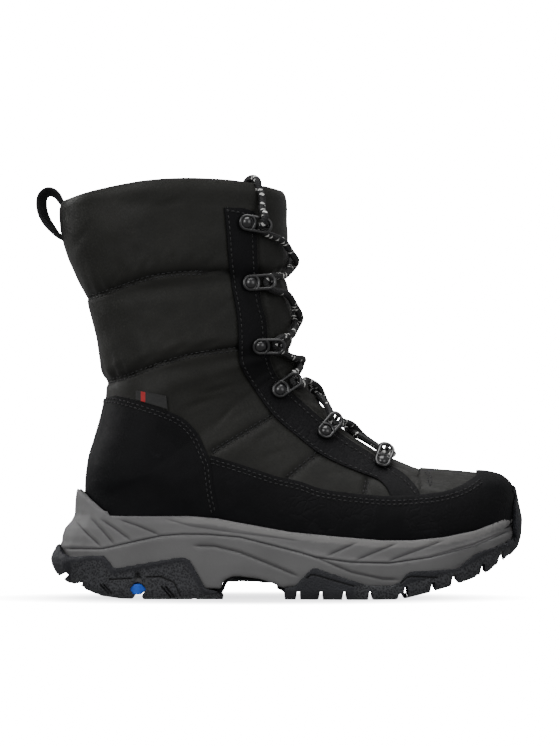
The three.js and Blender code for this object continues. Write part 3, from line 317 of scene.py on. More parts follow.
for half, points in enumerate(LACE_HALVES):
    route = smooth_route(np.array(points) / 1000, LACE_STEP)
    for middle, outward, over in CROSSINGS:
        away = np.linalg.norm(route - np.array(middle) / 1000, axis=1)
        hump = np.exp(-((away / CROSSING_REACH) ** 2))
        route = route + (CROSSING_LIFT if over == half else -CROSSING_DROP) * hump[:, None] * np.array(outward)
    LACE_HALVES[half] = tube("cord_half_%d" % half, route, LACE_WIDTH, LACE_AROUND, lace_finish)


def joined(name, parts):
    """One object from several, made at the origin."""
    bpy.ops.object.select_all(action="DESELECT")
    for part in parts:
        part.select_set(True)
    bpy.context.view_layer.objects.active = parts[0]
    if len(parts) > 1:
        bpy.ops.object.join()
    parts[0].name = name
    parts[0].data.name = name
    bpy.ops.object.select_all(action="DESELECT")
    return parts[0]


crossed_lace = joined("crossed_cord", LACE_HALVES)
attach(crossed_lace, "root")
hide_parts("lace_crossings")


# The eyelets. Each is a pressed and blackened metal D ring: a round rail bent to a stadium, pinched at its waist,
# a crescent post across its middle, and a domed rivet that holds its round end to the leather.
RING_SEATS = [
    ("lateral_1", (55.6, -39.5, 231.4), (0.970, 0.181, -0.163), (0.190, -0.981, 0.041), (67.6, -30.2, 228.9)),
    ("lateral_2", (57.9, -35.7, 194.2), (0.981, 0.186, 0.063), (0.171, -0.966, 0.196), (70.2, -26.3, 193.6)),
    ("lateral_3", (63.8, -34.2, 155.5), (0.966, 0.257, 0.001), (0.251, -0.942, -0.223), (75.3, -23.9, 157.1)),
    ("lateral_4", (76.0, -25.9, 128.5), (0.799, 0.259, 0.543), (0.124, -0.954, 0.273), (86.0, -15.3, 134.0)),
    ("lateral_5", (103.9, -28.1, 103.0), (0.553, 0.530, 0.643), (0.295, -0.846, 0.444), (109.4, -14.5, 108.6)),
    ("lateral_6", (138.9, -27.3, 84.5), (0.248, 0.732, 0.634), (0.260, -0.681, 0.685), (140.5, -12.5, 88.4)),
    ("medial_1", (55.6, 39.5, 231.4), (0.970, -0.181, -0.163), (0.190, 0.981, 0.041), (67.6, 30.2, 228.9)),
    ("medial_2", (57.9, 35.7, 194.2), (0.981, -0.186, 0.063), (0.171, 0.966, 0.196), (70.2, 26.3, 193.6)),
    ("medial_3", (63.8, 34.2, 155.5), (0.966, -0.257, 0.001), (0.251, 0.942, -0.223), (75.3, 23.9, 157.1)),
    ("medial_4", (75.9, 27.7, 128.5), (0.794, -0.241, 0.559), (0.073, 0.949, 0.306), (86.3, 17.4, 134.0)),
    ("medial_5", (103.8, 31.7, 103.0), (0.563, -0.493, 0.664), (0.249, 0.867, 0.432), (109.7, 18.3, 108.8)),
    ("medial_6", (138.9, 32.9, 84.4), (0.252, -0.717, 0.650), (0.246, 0.697, 0.673), (140.6, 18.0, 88.6)),
]
metal_finish, start, shader = finish_of("blackened_metal", 0.3, Coat_Weight=0.7, Coat_Roughness=0.12)
place = start.node("TexCoord", out=3)
pits = start.node("TexNoise", {}, {"Vector": place, "Scale": 900, "Detail": 3})
worn = start.node("TexNoise", {}, {"Vector": place, "Scale": 160, "Detail": 2}).step(0.52, 0.75)
feed(shader, start, worn.blend((0.006, 0.006, 0.007, 1), (0.016, 0.016, 0.018, 1)),
     roughness=0.26 + 0.12 * pits, bumps=[(pits, 0.05, 0.0001)])

RAIL = 0.00105
RING_HALF = 0.0042
RING_RUN = 0.0108
bpy.ops.mesh.primitive_torus_add(major_radius=RING_HALF, minor_radius=RAIL, major_segments=36, minor_segments=10,
                                 location=(0, 0, 0.0011))
rail = bpy.context.object
bpy.ops.object.transform_apply(location=True, rotation=True, scale=True)
for vert in rail.data.vertices:
    if vert.co.x > 0:
        vert.co.x += RING_RUN
    waist = math.exp(-(((vert.co.x - 0.46 * RING_RUN) / 0.0016) ** 2))
    vert.co.y *= 1 - 0.13 * waist
    vert.co.z += 0.0003 * waist
bpy.ops.mesh.primitive_uv_sphere_add(segments=24, ring_count=12, radius=0.0036, location=(0, 0, 0))
rivet = bpy.context.object
rivet.scale = (1, 1, 0.72)
rivet.location = (0, 0, 0.0012)
bpy.ops.object.transform_apply(location=True, rotation=True, scale=True)
bpy.ops.mesh.primitive_cylinder_add(vertices=32, radius=0.0046, depth=0.001, location=(0, 0, 0.0006))
washer = bpy.context.object
bpy.ops.object.transform_apply(location=True, rotation=True, scale=True)
bpy.ops.mesh.primitive_torus_add(major_radius=0.0052, minor_radius=0.0011, major_segments=40, minor_segments=8,
                                 location=(-0.0002, 0, 0.0012))
crescent = bpy.context.object
bpy.ops.object.transform_apply(location=True, rotation=True, scale=True)
bpy.ops.object.mode_set(mode="EDIT")
bpy.ops.mesh.select_all(action="SELECT")
bpy.ops.mesh.bisect(plane_co=(0.0026, 0, 0), plane_no=(1, 0, 0), clear_inner=True, use_fill=True)
bpy.ops.object.mode_set(mode="OBJECT")
bpy.ops.mesh.primitive_cylinder_add(vertices=12, radius=0.0010, depth=1.0, location=(0, 0, 0))
post = bpy.context.object
RING_PARTS = [rail, rivet, washer, crescent]
for part in RING_PARTS + [post]:
    part.data.shade_smooth()
bpy.ops.object.select_all(action="DESELECT")
washer.select_set(True)
bpy.context.view_layer.objects.active = washer
rounding = washer.modifiers.new("rounding", "BEVEL")
rounding.width = 0.0003
rounding.segments = 2
bpy.ops.object.modifier_apply(modifier=rounding.name)

POST_AT = 0.0136
for ring_name, seat, to, out, foot in RING_SEATS:
    seat, foot = Vector(seat) / 1000, Vector(foot) / 1000
    to, out = Vector(to).normalized(), Vector(out).normalized()
    across = out.cross(to).normalized()
    copies = []
    for part in RING_PARTS:
        copy = bpy.data.objects.new(ring_name, part.data.copy())
        bpy.context.scene.collection.objects.link(copy)
        for vert in copy.data.vertices:
            local = vert.co.copy()
            vert.co = seat + to * local.x + across * local.y + out * local.z
        copies.append(copy)
    copy = bpy.data.objects.new(ring_name, post.data.copy())
    bpy.context.scene.collection.objects.link(copy)
    head = seat + to * POST_AT + out * 0.001
    way = head - foot
    left = way.cross(across).normalized()
    front = left.cross(way).normalized()
    for vert in copy.data.vertices:
        local = vert.co.copy()
        vert.co = foot + way * (local.z + 0.5) + left * local.x + front * local.y
    copies.append(copy)
    ring = joined("ring_" + ring_name, copies)
    ring.data.materials.clear()
    ring.data.materials.append(metal_finish)
    bpy.context.view_layer.objects.active = ring
    bpy.ops.object.mode_set(mode="EDIT")
    bpy.ops.mesh.select_all(action="SELECT")
    bpy.ops.mesh.normals_make_consistent(inside=False)
    bpy.ops.object.mode_set(mode="OBJECT")
    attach(ring, "root")
    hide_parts("eyelet_" + ring_name)
for part in RING_PARTS + [post]:
    bpy.data.objects.remove(part)


# The upper. A padded nylon shaft quilted in three bands, sewn to a nylon vamp and lasted under the insole, with a
# fleece lining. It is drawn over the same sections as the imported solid, so that each seam keeps its place.
SOLE_LENGTH = 290.0
SOLE_HEIGHT = 51.0
BOOT_HEIGHT = 260.0
BALL_WIDTH = 96.0
TOE_ROUND = 72.0
WALL = 3.0
HEEL_SPOT = 0.2247
BALL_STACK = 0.715
HEEL_ROW = 20
SECTION_COLUMNS = ["row", "at", "lift", "ridge", "rise", "half", "seat", "belly", "full", "lean", "crest", "bow"]
SECTION_ROWS = [
    [0, 0.97, 0.04, 0.97, 0.104, 0.5, 0.46, 0.38, 0.25, 0.055, 0.055, 0],
    [1, 0.9665, 0.04, 0.9665, 0.136, 0.5, 0.46, 0.38, 0.25, 0.055, 0.055, 0],
    [2, 0.958, 0.04, 0.958, 0.152, 0.5, 0.46, 0.38, 0.25, 0.053, 0.053, 0],
    [3, 0.942, 0.04, 0.942, 0.166, 0.5, 0.46, 0.38, 0.25, 0.05, 0.05, 0],
    [4, 0.917, 0.03, 0.917, 0.177, 0.5, 0.46, 0.38, 0.25, 0.045, 0.045, 0],
    [5, 0.883, 0.01, 0.883, 0.182, 0.5, 0.462, 0.37, 0.22, 0.036, 0.04, 0],
    [6, 0.84, 0, 0.84, 0.187, 0.5, 0.464, 0.36, 0.18, 0.024, 0.036, 0],
    [7, 0.79, -0.01, 0.79, 0.193, 0.5, 0.466, 0.35, 0.12, 0.01, 0.034, 0],
    [8, 0.735, -0.015, 0.742, 0.214, 0.5, 0.47, 0.33, 0.06, 0, 0.034, 0],
    [9, 0.675, -0.01, 0.69, 0.245, 0.495, 0.465, 0.31, 0.02, -0.008, 0.034, 0],
    [10, 0.61, -0.005, 0.636, 0.29, 0.478, 0.44, 0.3, 0, -0.012, 0.03, 0],
    [11, 0.545, 0, 0.6, 0.335, 0.45, 0.405, 0.3, 0, -0.012, 0.026, 0],
    [12, 0.475, 0.01, 0.571, 0.378, 0.425, 0.37, 0.32, 0.02, -0.008, 0.022, 0],
    [13, 0.4, 0.03, 0.5525, 0.409, 0.408, 0.345, 0.34, 0.05, -0.004, 0.018, 0],
    [14, 0.32, 0.045, 0.5375, 0.437, 0.398, 0.338, 0.34, 0.08, 0, 0.014, 0],
    [15, 0.24, 0.048, 0.5295, 0.455, 0.394, 0.335, 0.33, 0.1, 0, 0.012, 0],
    [16, 0.17, 0.048, 0.525, 0.468, 0.392, 0.328, 0.32, 0.12, 0, 0.01, 0],
    [17, 0.118, 0.048, 0.5215, 0.48, 0.39, 0.272, 0.31, 0.12, 0, 0.008, 0],
    [18, 0.0905, 0.048, 0.519, 0.488, 0.388, 0.171, 0.31, 0.12, 0, 0.006, 0],
    [19, 0.0795, 0.048, 0.5183, 0.4915, 0.387, 0.085, 0.31, 0.12, 0, 0.004, 0],
    [20, 0.076, 0.048, 0.5178, 0.494, 0.386, 0, 0.31, 0.12, 0, 0.003, 0],
    [21, 0.0735, 0.107, 0.517, 0.499, 0.385, 0, 0.32, 0.12, 0, 0, 0],
    [22, 0.0775, 0.179, 0.516, 0.504, 0.385, 0, 0.34, 0.1, 0, 0, 0],
    [23, 0.089, 0.251, 0.5145, 0.51, 0.388, 0, 0.37, 0.1, 0, 0, 0],
    [24, 0.1035, 0.322, 0.513, 0.515, 0.392, 0, 0.4, 0.1, 0, 0, 0],
    [25, 0.1135, 0.38, 0.5115, 0.521, 0.4, 0, 0.43, 0.1, 0, 0, 0],
    [26, 0.1145, 0.427, 0.509, 0.529, 0.398, 0, 0.45, 0.1, 0, 0, 0],
    [27, 0.105, 0.472, 0.513, 0.557, 0.42, 0, 0.48, 0.1, 0, 0, 0],
    [28, 0.093, 0.562, 0.5115, 0.622, 0.432, 0, 0.48, 0.1, 0, 0, 0],
    [29, 0.08, 0.628, 0.506, 0.684, 0.434, 0, 0.48, 0.1, 0, 0, 0],
    [30, 0.0735, 0.667, 0.498, 0.73, 0.424, 0, 0.48, 0.1, 0, 0, 0],
    [31, 0.058, 0.712, 0.504, 0.77, 0.455, 0, 0.48, 0.1, 0, 0, 0],
    [32, 0.032, 0.796, 0.5025, 0.832, 0.472, 0, 0.48, 0.1, 0, 0, 0.01],
    [33, 0.0195, 0.868, 0.502, 0.9, 0.478, 0, 0.48, 0.1, 0, 0, 0.035],
    [34, 0.0185, 0.912, 0.5, 0.945, 0.474, 0, 0.48, 0.1, 0, 0, 0.06],
    [35, 0.0235, 0.931, 0.494, 0.962, 0.458, 0, 0.48, 0.1, 0, 0, 0.075],
]


def along(share):
    return (np.asarray(share, dtype=float) - HEEL_SPOT) * SOLE_LENGTH


def low(share):
    return np.asarray(share, dtype=float) * SOLE_HEIGHT


def rise(share):
    return low(BALL_STACK) + np.asarray(share, dtype=float) * (BOOT_HEIGHT - BALL_STACK * SOLE_HEIGHT)


def table(columns, rows):
    """Reads a column of a table at any places, smoothly and with no overshoot."""
    rows = np.array(rows, dtype=float)
    keys = rows[:, 0]
    spans = np.diff(keys)
    slopes = {}
    for c, name in enumerate(columns[1:], 1):
        steps = np.diff(rows[:, c]) / spans
        both = steps[:-1] + steps[1:]
        inner = np.where(steps[:-1] * steps[1:] <= 0, 0.0,
                         2 * steps[:-1] * steps[1:] / np.where(both == 0, 1, both))
        slopes[name] = np.concatenate([steps[:1], inner, steps[-1:]])

    def read(name, at):
        c = columns.index(name)
        spot = np.clip(at, keys[0], keys[-1])
        i = np.clip(np.searchsorted(keys, spot, side="right") - 1, 0, len(keys) - 2)
        s = (spot - keys[i]) / spans[i]
        rest = 1 - s
        return (rows[i, c] * (1 + 2 * s) * rest ** 2 + rows[i + 1, c] * s * s * (3 - 2 * s)
                + slopes[name][i] * spans[i] * s * rest ** 2 - slopes[name][i + 1] * spans[i] * s * s * rest)

    return read


section = table(SECTION_COLUMNS, SECTION_ROWS)
LAST_ROW = 35.0
TOE_TIP = 0.97
feather = table(["at", "height"], [
    [0.07, 0.927], [0.295, 0.927], [0.352, 0.902], [0.401, 0.848], [0.508, 0.739], [0.606, 0.686],
    [0.704, 0.642], [0.768, 0.642], [0.834, 0.679], [0.9, 0.752], [0.949, 0.848], [0.973, 0.909]])
skirt = table(["row", "height"], [
    [14, 0], [15, 0.02], [16, 0.06], [17, 0.13], [18, 0.22], [19, 0.32], [20, 0.44], [21, 0.36], [22, 0.2],
    [23, 0.08], [24, 0]])


def round_end(distance, radius, power):
    inside = np.clip(1 - np.clip(1 - distance / radius, 0, None) ** power, 0, None)
    return np.where(distance >= radius, 1.0, np.sqrt(inside))


def upper_point(u, v):
    """The outer surface, in millimetres: u runs through the sections, v across from the outer side to the inner."""
    u, v = np.broadcast_arrays(np.asarray(u, dtype=float), np.asarray(v, dtype=float))
    at = section("at", u)
    reach = round_end((TOE_TIP - at) * SOLE_LENGTH, TOE_ROUND, 2.2)
    half = section("half", u) * BALL_WIDTH * reach
    seat = np.where(u >= HEEL_ROW, 0.0, section("seat", u) * BALL_WIDTH * reach)
    tuck = np.where(half > 0, 1 - seat / np.where(half > 0, half, 1), 0.0)
    full = section("full", u)
    belly = section("belly", u)
    w = np.abs(v)
    turn = (1 - np.clip(w / 0.5, 0, 1)) * (math.pi / 2)
    eta_up = np.cos(turn) * (1 + full * np.sin(turn) ** 2)
    zeta_up = belly + (1 - belly) * np.sin(turn)
    share = np.clip(w / 0.5 - 1, 0, 1)
    turn = share * (math.pi / 2)
    closed = tuck * tuck
    eta_low = 1 - tuck * (1 - np.cos(turn) * (1 + full * np.sin(turn) ** 2))
    zeta_low = belly * (1 - (1 - closed) * share - closed * np.sin(turn))
    raised = np.where(w < 0.5, 0.0, low(skirt("height", u)) * 1.3 * share * (1 - share ** 6))
    eta = np.where(w < 0.5, eta_up, eta_low)
    zeta = np.where(w < 0.5, zeta_up, zeta_low)
    foot = np.where(u < HEEL_ROW, low(feather("height", at)), rise(section("lift", u)))
    heel_foot = low(feather("height", section("at", HEEL_ROW)))
    base = np.where((u >= HEEL_ROW) & (u < HEEL_ROW + 1), heel_foot + (foot - rise(section("lift", HEEL_ROW))), foot)
    back_x = along(at)
    ridge_x = along(section("ridge", u))
    ridge_z = rise(section("rise", u))
    bow = section("bow", u) * 4 * zeta * (1 - zeta)
    x = back_x + (ridge_x - back_x) * zeta - (ridge_z - base) * bow
    z = base + (ridge_z - base) * zeta + (ridge_x - back_x) * bow + raised
    middle = (section("lean", u) * (1 - zeta) + section("crest", u) * zeta) * BALL_WIDTH
    return np.stack([x, middle + np.sign(v) * half * eta, z], axis=-1)


def upper_normal(u, v):
    u, v = np.broadcast_arrays(np.asarray(u, dtype=float), np.asarray(v, dtype=float))
    u0 = np.clip(u, 0.06, LAST_ROW - 0.03)
    v0 = np.clip(v, -0.99, 0.99)
    along_u = upper_point(u0 + 0.03, v0) - upper_point(u0 - 0.03, v0)
    along_v = upper_point(u0, v0 + 0.01) - upper_point(u0, v0 - 0.01)
    normal = np.cross(along_v, along_u)
    on_edge = np.abs(v) >= 0.9999
    normal[..., 1] = np.where((u <= 0) | (on_edge & (u >= HEEL_ROW)), 0, normal[..., 1])
    normal[..., 2] = np.where(on_edge & (u <= HEEL_ROW), 0, normal[..., 2])
    return normal / np.maximum(np.linalg.norm(normal, axis=-1), 1e-9)[..., None]


def side_view(rows):
    """An outline of the side view, from shares along the sole and up the boot, in millimetres."""
    return np.array([[float(along(x)), float(rise(z))] for x, z in rows])


def inside(outline, x, z):
    """Which places lie inside a closed outline of the side view."""
    found = np.zeros(np.shape(x), dtype=bool)
    for (x0, z0), (x1, z1) in zip(outline, np.roll(outline, -1, axis=0)):
        if z0 == z1:
            continue
        crosses = (z0 > z) != (z1 > z)
        found ^= crosses & (x < (x1 - x0) * (z - z0) / (z1 - z0) + x0)
    return found


def span(u, outline, most=1.0):
    """For each section, the stretch of v that an outline of the side view takes in."""
    w = np.linspace(0, most, 301)
    p = upper_point(np.asarray(u)[:, None], w[None, :])
    found = inside(outline, p[..., 0], p[..., 2])
    has = found.any(axis=1)
    first = found.argmax(axis=1)
    last = len(w) - 1 - found[:, ::-1].argmax(axis=1)

    def edge(outer, inner):
        a, b = w[outer].copy(), w[inner].copy()
        for _ in range(14):
            half = (a + b) / 2
            q = upper_point(u, half)
            hit = inside(outline, q[..., 0], q[..., 2])
            b = np.where(hit, half, b)
            a = np.where(hit, a, half)
        return b

    low_edge = np.where(first > 0, edge(np.maximum(first - 1, 0), first), 0.0)
    high_edge = np.where(last < len(w) - 1, edge(np.minimum(last + 1, len(w) - 1), last), most)
    return has, low_edge, high_edge


def even_rows(first, last, spacing):
    """Rows of the surface between two sections, about evenly far apart on the boot."""
    u = np.linspace(first, last, 2000)
    gaps = np.zeros(len(u) - 1)
    for v in (0.02, 0.3, 0.6, 0.95):
        gaps += np.linalg.norm(np.diff(upper_point(u, v), axis=0), axis=1) / 4
    run = np.concatenate([[0], np.cumsum(gaps)])
    return np.interp(np.linspace(0, run[-1], max(int(run[-1] / spacing), 3) + 1), run, u)


def seam_reach(line, x, z):
    """How far each place of the side view lies from a seam's line, and how far along the line that is."""
    best = np.full(np.shape(x), 1e9)
    run = np.zeros(np.shape(x))
    length = 0.0
    for (x0, z0), (x1, z1) in zip(line[:-1], line[1:]):
        size = math.hypot(x1 - x0, z1 - z0)
        share = np.clip(((x - x0) * (x1 - x0) + (z - z0) * (z1 - z0)) / size ** 2, 0, 1)
        away = np.hypot(x - x0 - share * (x1 - x0), z - z0 - share * (z1 - z0))
        run = np.where(away < best, length + share * size, run)
        best = np.minimum(best, away)
        length += size
    return best, run


def sheet_mesh(name, points, keep=None, weld=0.00004):
    """A skin of quads through a grid of places in metres, welded where its borders meet."""
    rows, columns = points.shape[:2]
    index = np.arange(rows * columns).reshape(rows, columns)
    quads = np.stack([index[:-1, :-1], index[:-1, 1:], index[1:, 1:], index[1:, :-1]], axis=-1)
    if keep is not None:
        quads = quads[keep]
    mesh = bpy.data.meshes.new(name)
    mesh.from_pydata(points.reshape(-1, 3).tolist(), [], quads.reshape(-1, 4).tolist())
    made = bmesh.new()
    made.from_mesh(mesh)
    bmesh.ops.remove_doubles(made, verts=made.verts, dist=weld)
    bmesh.ops.delete(made, geom=[v for v in made.verts if not v.link_faces], context="VERTS")
    bmesh.ops.recalc_face_normals(made, faces=made.faces)
    made.to_mesh(mesh)
    made.free()
    mesh.shade_smooth()
    piece = bpy.data.objects.new(name, mesh)
    bpy.context.scene.collection.objects.link(piece)
    return piece


def applied(piece, kind, **settings):
    """Adds a modifier to a piece and applies it."""
    bpy.ops.object.select_all(action="DESELECT")
    piece.select_set(True)
    bpy.context.view_layer.objects.active = piece
    modifier = piece.modifiers.new(kind.lower(), kind)
    for key, value in settings.items():
        setattr(modifier, key, value)
    bpy.ops.object.modifier_apply(modifier=modifier.name)
    return piece


def facing_out(piece):
    """Turns an open skin's faces away from the boot's middle line where most of them look inwards."""
    mesh = piece.data
    middle = Vector((0.03, 0, 0.12)) if piece.dimensions.z > 0.12 else Vector((sum(
        (v.co for v in mesh.vertices), Vector()) / len(mesh.vertices)))
    vote = sum(1 if polygon.normal.dot(polygon.center - middle) > 0 else -1 for polygon in mesh.polygons)
    if vote < 0:
        mesh.flip_normals()
    return piece


def dressed(piece, thickness, edge, materials):
    """Gives a skin its thickness inwards, rounds its cut edges and puts its finishes on, the last one inside."""
    facing_out(piece)
    piece.data.materials.clear()
    for material in materials:
        piece.data.materials.append(material)
    applied(piece, "SOLIDIFY", thickness=thickness, offset=-1, use_even_offset=False,
            material_offset=len(materials) - 1)
    applied(piece, "BEVEL", width=edge, segments=2, limit_method="ANGLE", angle_limit=math.radians(55),
            use_clamp_overlap=True)
    piece.data.shade_smooth()
    return piece


def marked(piece, name, values):
    """Gives a piece's corners a value that its finish reads by name."""
    piece.data.attributes.new(name, "FLOAT", "POINT").data.foreach_set("value", values.astype(np.float32))


def ripple(points, wave, seed):
    """A smooth seeded unevenness between -1 and 1, about one wave long."""
    noise = np.random.default_rng(seed)
    total = np.zeros(points.shape[:-1])
    for _ in range(9):
        way = noise.normal(size=3)
        way *= 2 * math.pi / wave * noise.uniform(0.55, 1.5) / np.linalg.norm(way)
        total += np.sin(points @ way + noise.uniform(0, 6.28))
    return total / 4.2


THREADS = 7800
nylon_finish, start, shader = finish_of(
    "ripstop_nylon", 0.5, Specular_IOR_Level=0.22, Sheen_Weight=0.06, Sheen_Roughness=0.4)
place = start.node("TexCoord", out=3)
across_x, across_y, across_z = place.axes()
warp = ((across_x + across_y) * THREADS).sum("SINE")
weft = (across_z * THREADS).sum("SINE")
slub = start.node("TexNoise", {}, {"Vector": place, "Scale": 420, "Detail": 2})
tone = start.node("TexNoise", {}, {"Vector": place, "Scale": 22, "Detail": 4, "Roughness": 0.6})
crinkle = start.node("TexNoise", {}, {"Vector": place, "Scale": 75, "Detail": 5, "Roughness": 0.6})
# Painted shade: the nylon darkens to near black in a band along each seam, widest just above the quilting seams where
# the puffed panel overhangs them.
painted_seam_shade = start.node("Attribute", {"attribute_name": "painted_seam_shade"}, out=2)
tone = tone.step(0.3, 0.75).blend((0.0125, 0.0125, 0.011, 1), (0.0198, 0.0196, 0.0174, 1))
feed(shader, start, painted_seam_shade.blend(tone, (0.0035, 0.0035, 0.0032, 1)),
     roughness=0.44 + 0.16 * slub, bumps=[(crinkle, 0.35, 0.0012), (warp * weft, 0.18, 0.00015)])

fleece_finish, start, shader = finish_of("lining_pile", 0.95, Specular_IOR_Level=0.1, Sheen_Weight=0.2)
place = start.node("TexCoord", out=3)
tufts = start.node("TexNoise", {}, {"Vector": place, "Scale": 650, "Detail": 4, "Roughness": 0.7})
feed(shader, start, tufts.step(0.3, 0.7).blend((0.012, 0.012, 0.012, 1), (0.04, 0.04, 0.038, 1)),
     bumps=[(tufts, 0.9, 0.0012)])

THROAT_EDGE = [
    [0.446, 1.1], [0.44, 0.934], [0.44, 0.796], [0.448, 0.658], [0.459, 0.603], [0.464, 0.518], [0.482, 0.452],
    [0.54, 0.377], [0.614, 0.295], [0.678, 0.24], [0.738, 0.193], [0.768, 0.174],
]
THROAT_END = [[0.784, 0.172], [0.793, 0.26], [0.793, 1.1]]


def rounded_line(points, step=2.0):
    """A smooth line of the side view through given points."""
    flat = smooth_route(np.column_stack([points, np.zeros(len(points))]), step)
    return flat[:, :2]


throat_line = rounded_line(side_view(THROAT_EDGE))
throat = np.vstack([throat_line, side_view(THROAT_END)])
QUILT_SEAMS = [
    [(-70, 184.5), (-43, 185.4), (-31, 189), (-19, 193), (-7.5, 197), (4, 199.4), (16, 200.6), (28, 200.8),
     (95, 201)],
    [(-62, 129), (-32, 133.4), (-19, 137), (-7.5, 141.1), (4, 145.3), (16, 148.9), (28, 151.4), (40, 152.9),
     (50, 154.1), (95, 156)],
]
BIAS_SEAMS = [
    [(71, 112.7), (57, 104), (45, 97), (33, 89.6)],
    [(99.5, 90.2), (90, 82.5), (80.3, 74.7)],
    [(129.5, 73.2), (128.8, 69), (127.6, 64.9)],
]
CREASES = [
    ((-28, 192), (-22, 203), 0.7, 2.4), ((-19, 194), (-12, 208), 0.8, 2.4), ((-10, 198), (-2, 213), 0.9, 2.6),
    ((0, 200), (4, 217), 0.9, 2.6), ((9, 202), (11, 216), 0.8, 2.4), ((18, 203), (24, 214), 0.7, 2.4),
    ((28, 203), (37, 211), 0.6, 2.4), ((-30, 136), (-18, 146), 0.6, 2.6), ((-16, 140), (0, 151), 0.7, 2.8),
    ((2, 147), (20, 157), 0.8, 2.8), ((20, 152), (42, 160), 0.7, 2.6), ((34, 170), (46, 186), 0.5, 2.6),
    ((16, 117), (38, 124), 0.6, 3.0), ((26, 126), (48, 131), 0.6, 2.6), ((60, 97), (78, 105), 0.6, 2.4),
    ((62, 86), (86, 94), 0.6, 2.6), ((36, 104), (47, 120), 0.6, 2.6), ((-52, 214), (-40, 232), 0.4, 3.0),
    ((44, 112), (62, 116), 0.6, 2.6), ((100, 76), (118, 80), 0.5, 2.2), ((-2, 240), (18, 246), 0.35, 2.6),
]


def seam_side(line, x, z):
    """The distance from a seam's line, more than nothing above it and less below it."""
    away, run = seam_reach(line, x, z)
    heights = np.interp(x, [p[0] for p in line], [p[1] for p in line])
    return np.where(z >= heights, away, -away), run


def nylon_relief(points):
    """How far the nylon stands out or in, in millimetres: quilting, puckers by the seams, creases and pleats."""
    x, z = points[..., 0], points[..., 2]
    out = 0.9 + 0.4 * ripple(points, 46, 5) + 0.2 * ripple(points, 19, 6)
    for line in QUILT_SEAMS:
        away, run = seam_side(line, x, z)
        depth = 0.35 + 0.65 * np.clip((x + 50) / 22, 0, 1)
        above = np.clip(away, 0, None)
        below = np.clip(-away, 0, None)
        over = 1.5 * np.sin(np.clip(above / 9, 0, 1) * math.pi / 2) * np.exp(-above / 26) - 1.3
        under = 0.8 * (1 - np.exp(-below / 3)) * np.exp(-below / 30) - 1.3
        out += depth * np.where(away >= 0, over, under) * np.exp(-np.abs(away) / 60)
        out -= depth * 1.2 * np.exp(-((away / 1.3) ** 2))
        gather = np.sin(run * 0.78 + 1.9 * np.sin(run * 0.17) + 0.6)
        out += 0.85 * depth * gather * np.exp(-above / 10) * (away > 0) * (1 - np.exp(-above / 1.2))
    for line in BIAS_SEAMS:
        away, run = seam_reach(line, x, z)
        out -= 1.3 * np.exp(-((away / 2.0) ** 2)) + 0.5 * np.exp(-away / 5)
        out += 0.25 * np.sin(run * 0.9) * np.exp(-away / 6)
    for first, last, depth, width in CREASES:
        away, run = seam_reach([first, last], x, z)
        size = math.hypot(last[0] - first[0], last[1] - first[1])
        fade = np.sin(np.clip(run / size, 0.02, 0.98) * math.pi)
        bank = 0.5 * np.exp(-(((away - width) / width) ** 2))
        out += depth * fade * (bank - np.exp(-((away / (0.6 * width)) ** 2)))
    out += 0.9 * np.clip((z - 243) / 8, 0, 1)
    vamp = np.clip((x - 150) / 10, 0, 1) * np.clip((202 - x) / 6, 0, 1)
    pleat = np.sin(points[..., 1] * 1.35 + 0.7 * np.sin(x * 0.11) + 0.4 * np.sin(x * 0.31))
    return out + vamp * (0.34 * pleat - 0.25)


ROW_SPACING = 1.75
rows = even_rows(0, LAST_ROW, ROW_SPACING)
has_throat, _, throat_high = span(rows, throat, 0.9)
has_throat &= rows > 6.5
first_open = int(np.argmax(has_throat))
throat_w = np.where(has_throat, throat_high, throat_high[first_open])
throat_w[:first_open] = throat_high[first_open]
OUTER_COLUMNS = 56
MIDDLE_COLUMNS = 26
outer = np.linspace(0, 1, OUTER_COLUMNS + 1)
columns_v = np.concatenate([
    -1 + outer[None, :] * (1 - throat_w[:, None]),
    -throat_w[:, None] + np.linspace(0, 1, MIDDLE_COLUMNS + 1)[None, 1:-1] * 2 * throat_w[:, None],
    throat_w[:, None] + outer[None, :] * (1 - throat_w[:, None])], axis=1)
surface = upper_point(rows[:, None], columns_v)
normals = upper_normal(rows[:, None], columns_v)
relief = nylon_relief(surface)
fade_low = np.clip((surface[..., 2] - 52) / 10, 0, 1)
places = (surface + normals * (relief * fade_low)[..., None]) / 1000
keep = np.ones((len(rows) - 1, columns_v.shape[1] - 1), dtype=bool)
keep[first_open:, OUTER_COLUMNS:OUTER_COLUMNS + MIDDLE_COLUMNS] = False
upper = sheet_mesh("nylon_upper", places, keep)
# Painted shade along the quilting and bias seams: how much the nylon's colour is darkened at each corner.
painted_seam_shades = np.zeros(len(upper.data.vertices))
spots = np.array([v.co for v in upper.data.vertices]) * 1000
for line in QUILT_SEAMS:
    away, run = seam_side(line, spots[:, 0], spots[:, 2])
    depth = 0.5 + 0.5 * np.clip((spots[:, 0] + 50) / 22, 0, 1)
    painted_seam_shades = np.maximum(painted_seam_shades, depth * np.where(away > 0, 0.95 * np.exp(-away / 3.2), np.exp(-((away / 1.2) ** 2))))
for line in BIAS_SEAMS:
    away, run = seam_reach(line, spots[:, 0], spots[:, 2])
    painted_seam_shades = np.maximum(painted_seam_shades, 0.85 * np.exp(-((away / 1.6) ** 2)))
marked(upper, "painted_seam_shade", painted_seam_shades)
dressed(upper, WALL / 1000, 0.0009, [nylon_finish, fleece_finish])
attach(upper, "root")
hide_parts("upper")


